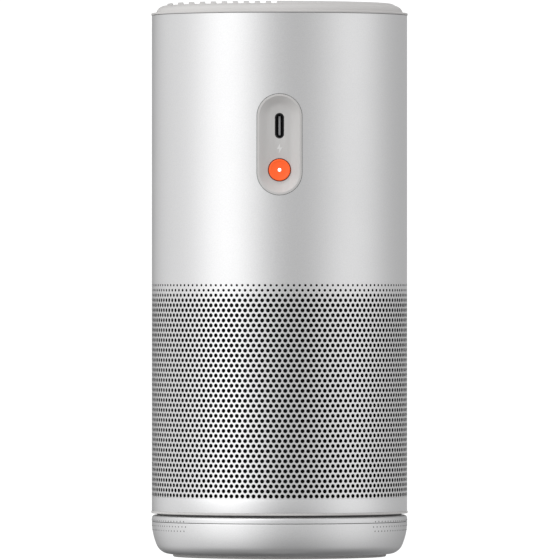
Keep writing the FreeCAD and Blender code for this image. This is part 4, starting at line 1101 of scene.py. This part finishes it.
def make_studio():
    """A round white floor that the camera sees, under the even sky."""
    make_sky()
    pick_nothing()
    bpy.ops.mesh.primitive_circle_add(
        vertices=96, radius=0.45, fill_type="NGON", location=(0, 0, -0.00005)
    )
    floor = named("studio_floor")
    paint = bpy.data.materials.new("studio_floor")
    paint.use_nodes = True
    tree = paint.node_tree
    tree.nodes.remove(tree.nodes["Principled BSDF"])
    glow = node_of(tree, "ShaderNodeEmission", Strength=SEEN_WHITE)
    clear = tree.nodes.new("ShaderNodeBsdfTransparent")
    path = tree.nodes.new("ShaderNodeLightPath")
    either = tree.nodes.new("ShaderNodeMixShader")
    link(tree, path.outputs["Is Camera Ray"], either.inputs[0])
    link(tree, clear.outputs[0], either.inputs[1])
    link(tree, glow.outputs[0], either.inputs[2])
    link(tree, either.outputs[0], tree.nodes["Material Output"].inputs["Surface"])
    floor.data.materials.append(paint)


def make_camera():
    """A long lens level with the middle of the speaker."""
    lens = bpy.data.cameras.new("camera")
    lens.lens = 660.0
    lens.sensor_width = 36.0
    lens.clip_end = 100
    holder = bpy.data.objects.new("camera", lens)
    bpy.context.scene.collection.objects.link(holder)
    holder.location = (0.00018, -3.70, 0.0996)
    holder.rotation_euler = (math.pi / 2, 0, 0)
    bpy.context.scene.camera = holder
    bpy.context.scene.view_settings.view_transform = "Standard"


# ---------------------------------------------------------------- the whole


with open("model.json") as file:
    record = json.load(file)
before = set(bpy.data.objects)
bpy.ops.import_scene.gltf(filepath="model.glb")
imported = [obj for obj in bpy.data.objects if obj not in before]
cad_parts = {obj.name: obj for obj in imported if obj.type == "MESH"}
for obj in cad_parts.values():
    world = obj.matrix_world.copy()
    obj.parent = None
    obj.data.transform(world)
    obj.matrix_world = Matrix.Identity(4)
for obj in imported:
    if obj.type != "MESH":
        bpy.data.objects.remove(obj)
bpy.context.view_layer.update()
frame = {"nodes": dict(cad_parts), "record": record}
nodes = frame["nodes"]
finishes = make_finishes()
for entry in frame["record"]["subparts"]:
    slots = nodes[entry["node"]].data.materials
    finish = finishes[entry["material_slot"]]
    if len(slots) == 0:
        slots.append(finish)
    for i in range(len(slots)):
        slots[i] = finish
# Painted shade: the receptacle gets the near-black steel so the port's recess looks dark.
nodes["usb_receptacle"].data.materials[0] = finishes["socket_steel_painted_shade"]

make_studio()
make_camera()
make_sleeve(finishes["shell_aluminium"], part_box("outer_shell"))
make_cap(finishes["warm_grey_plastic"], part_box("top_cap"))
make_base(finishes["base_aluminium"], finishes["warm_grey_plastic"], finishes["foot_rubber"])
make_panel(finishes["warm_grey_plastic"])
make_button(finishes["orange_plastic"], finishes["light_lens"])
# Painted shade: a dark ring in the gap round the button.
make_button_gap_shade(finishes["seal_rubber"])
make_bolt(finishes["symbol_ink"])
# Painted shade: rows of dark dots where the base has tiny holes.
make_hole_shade_dots(finishes["hole_shade_dots"])
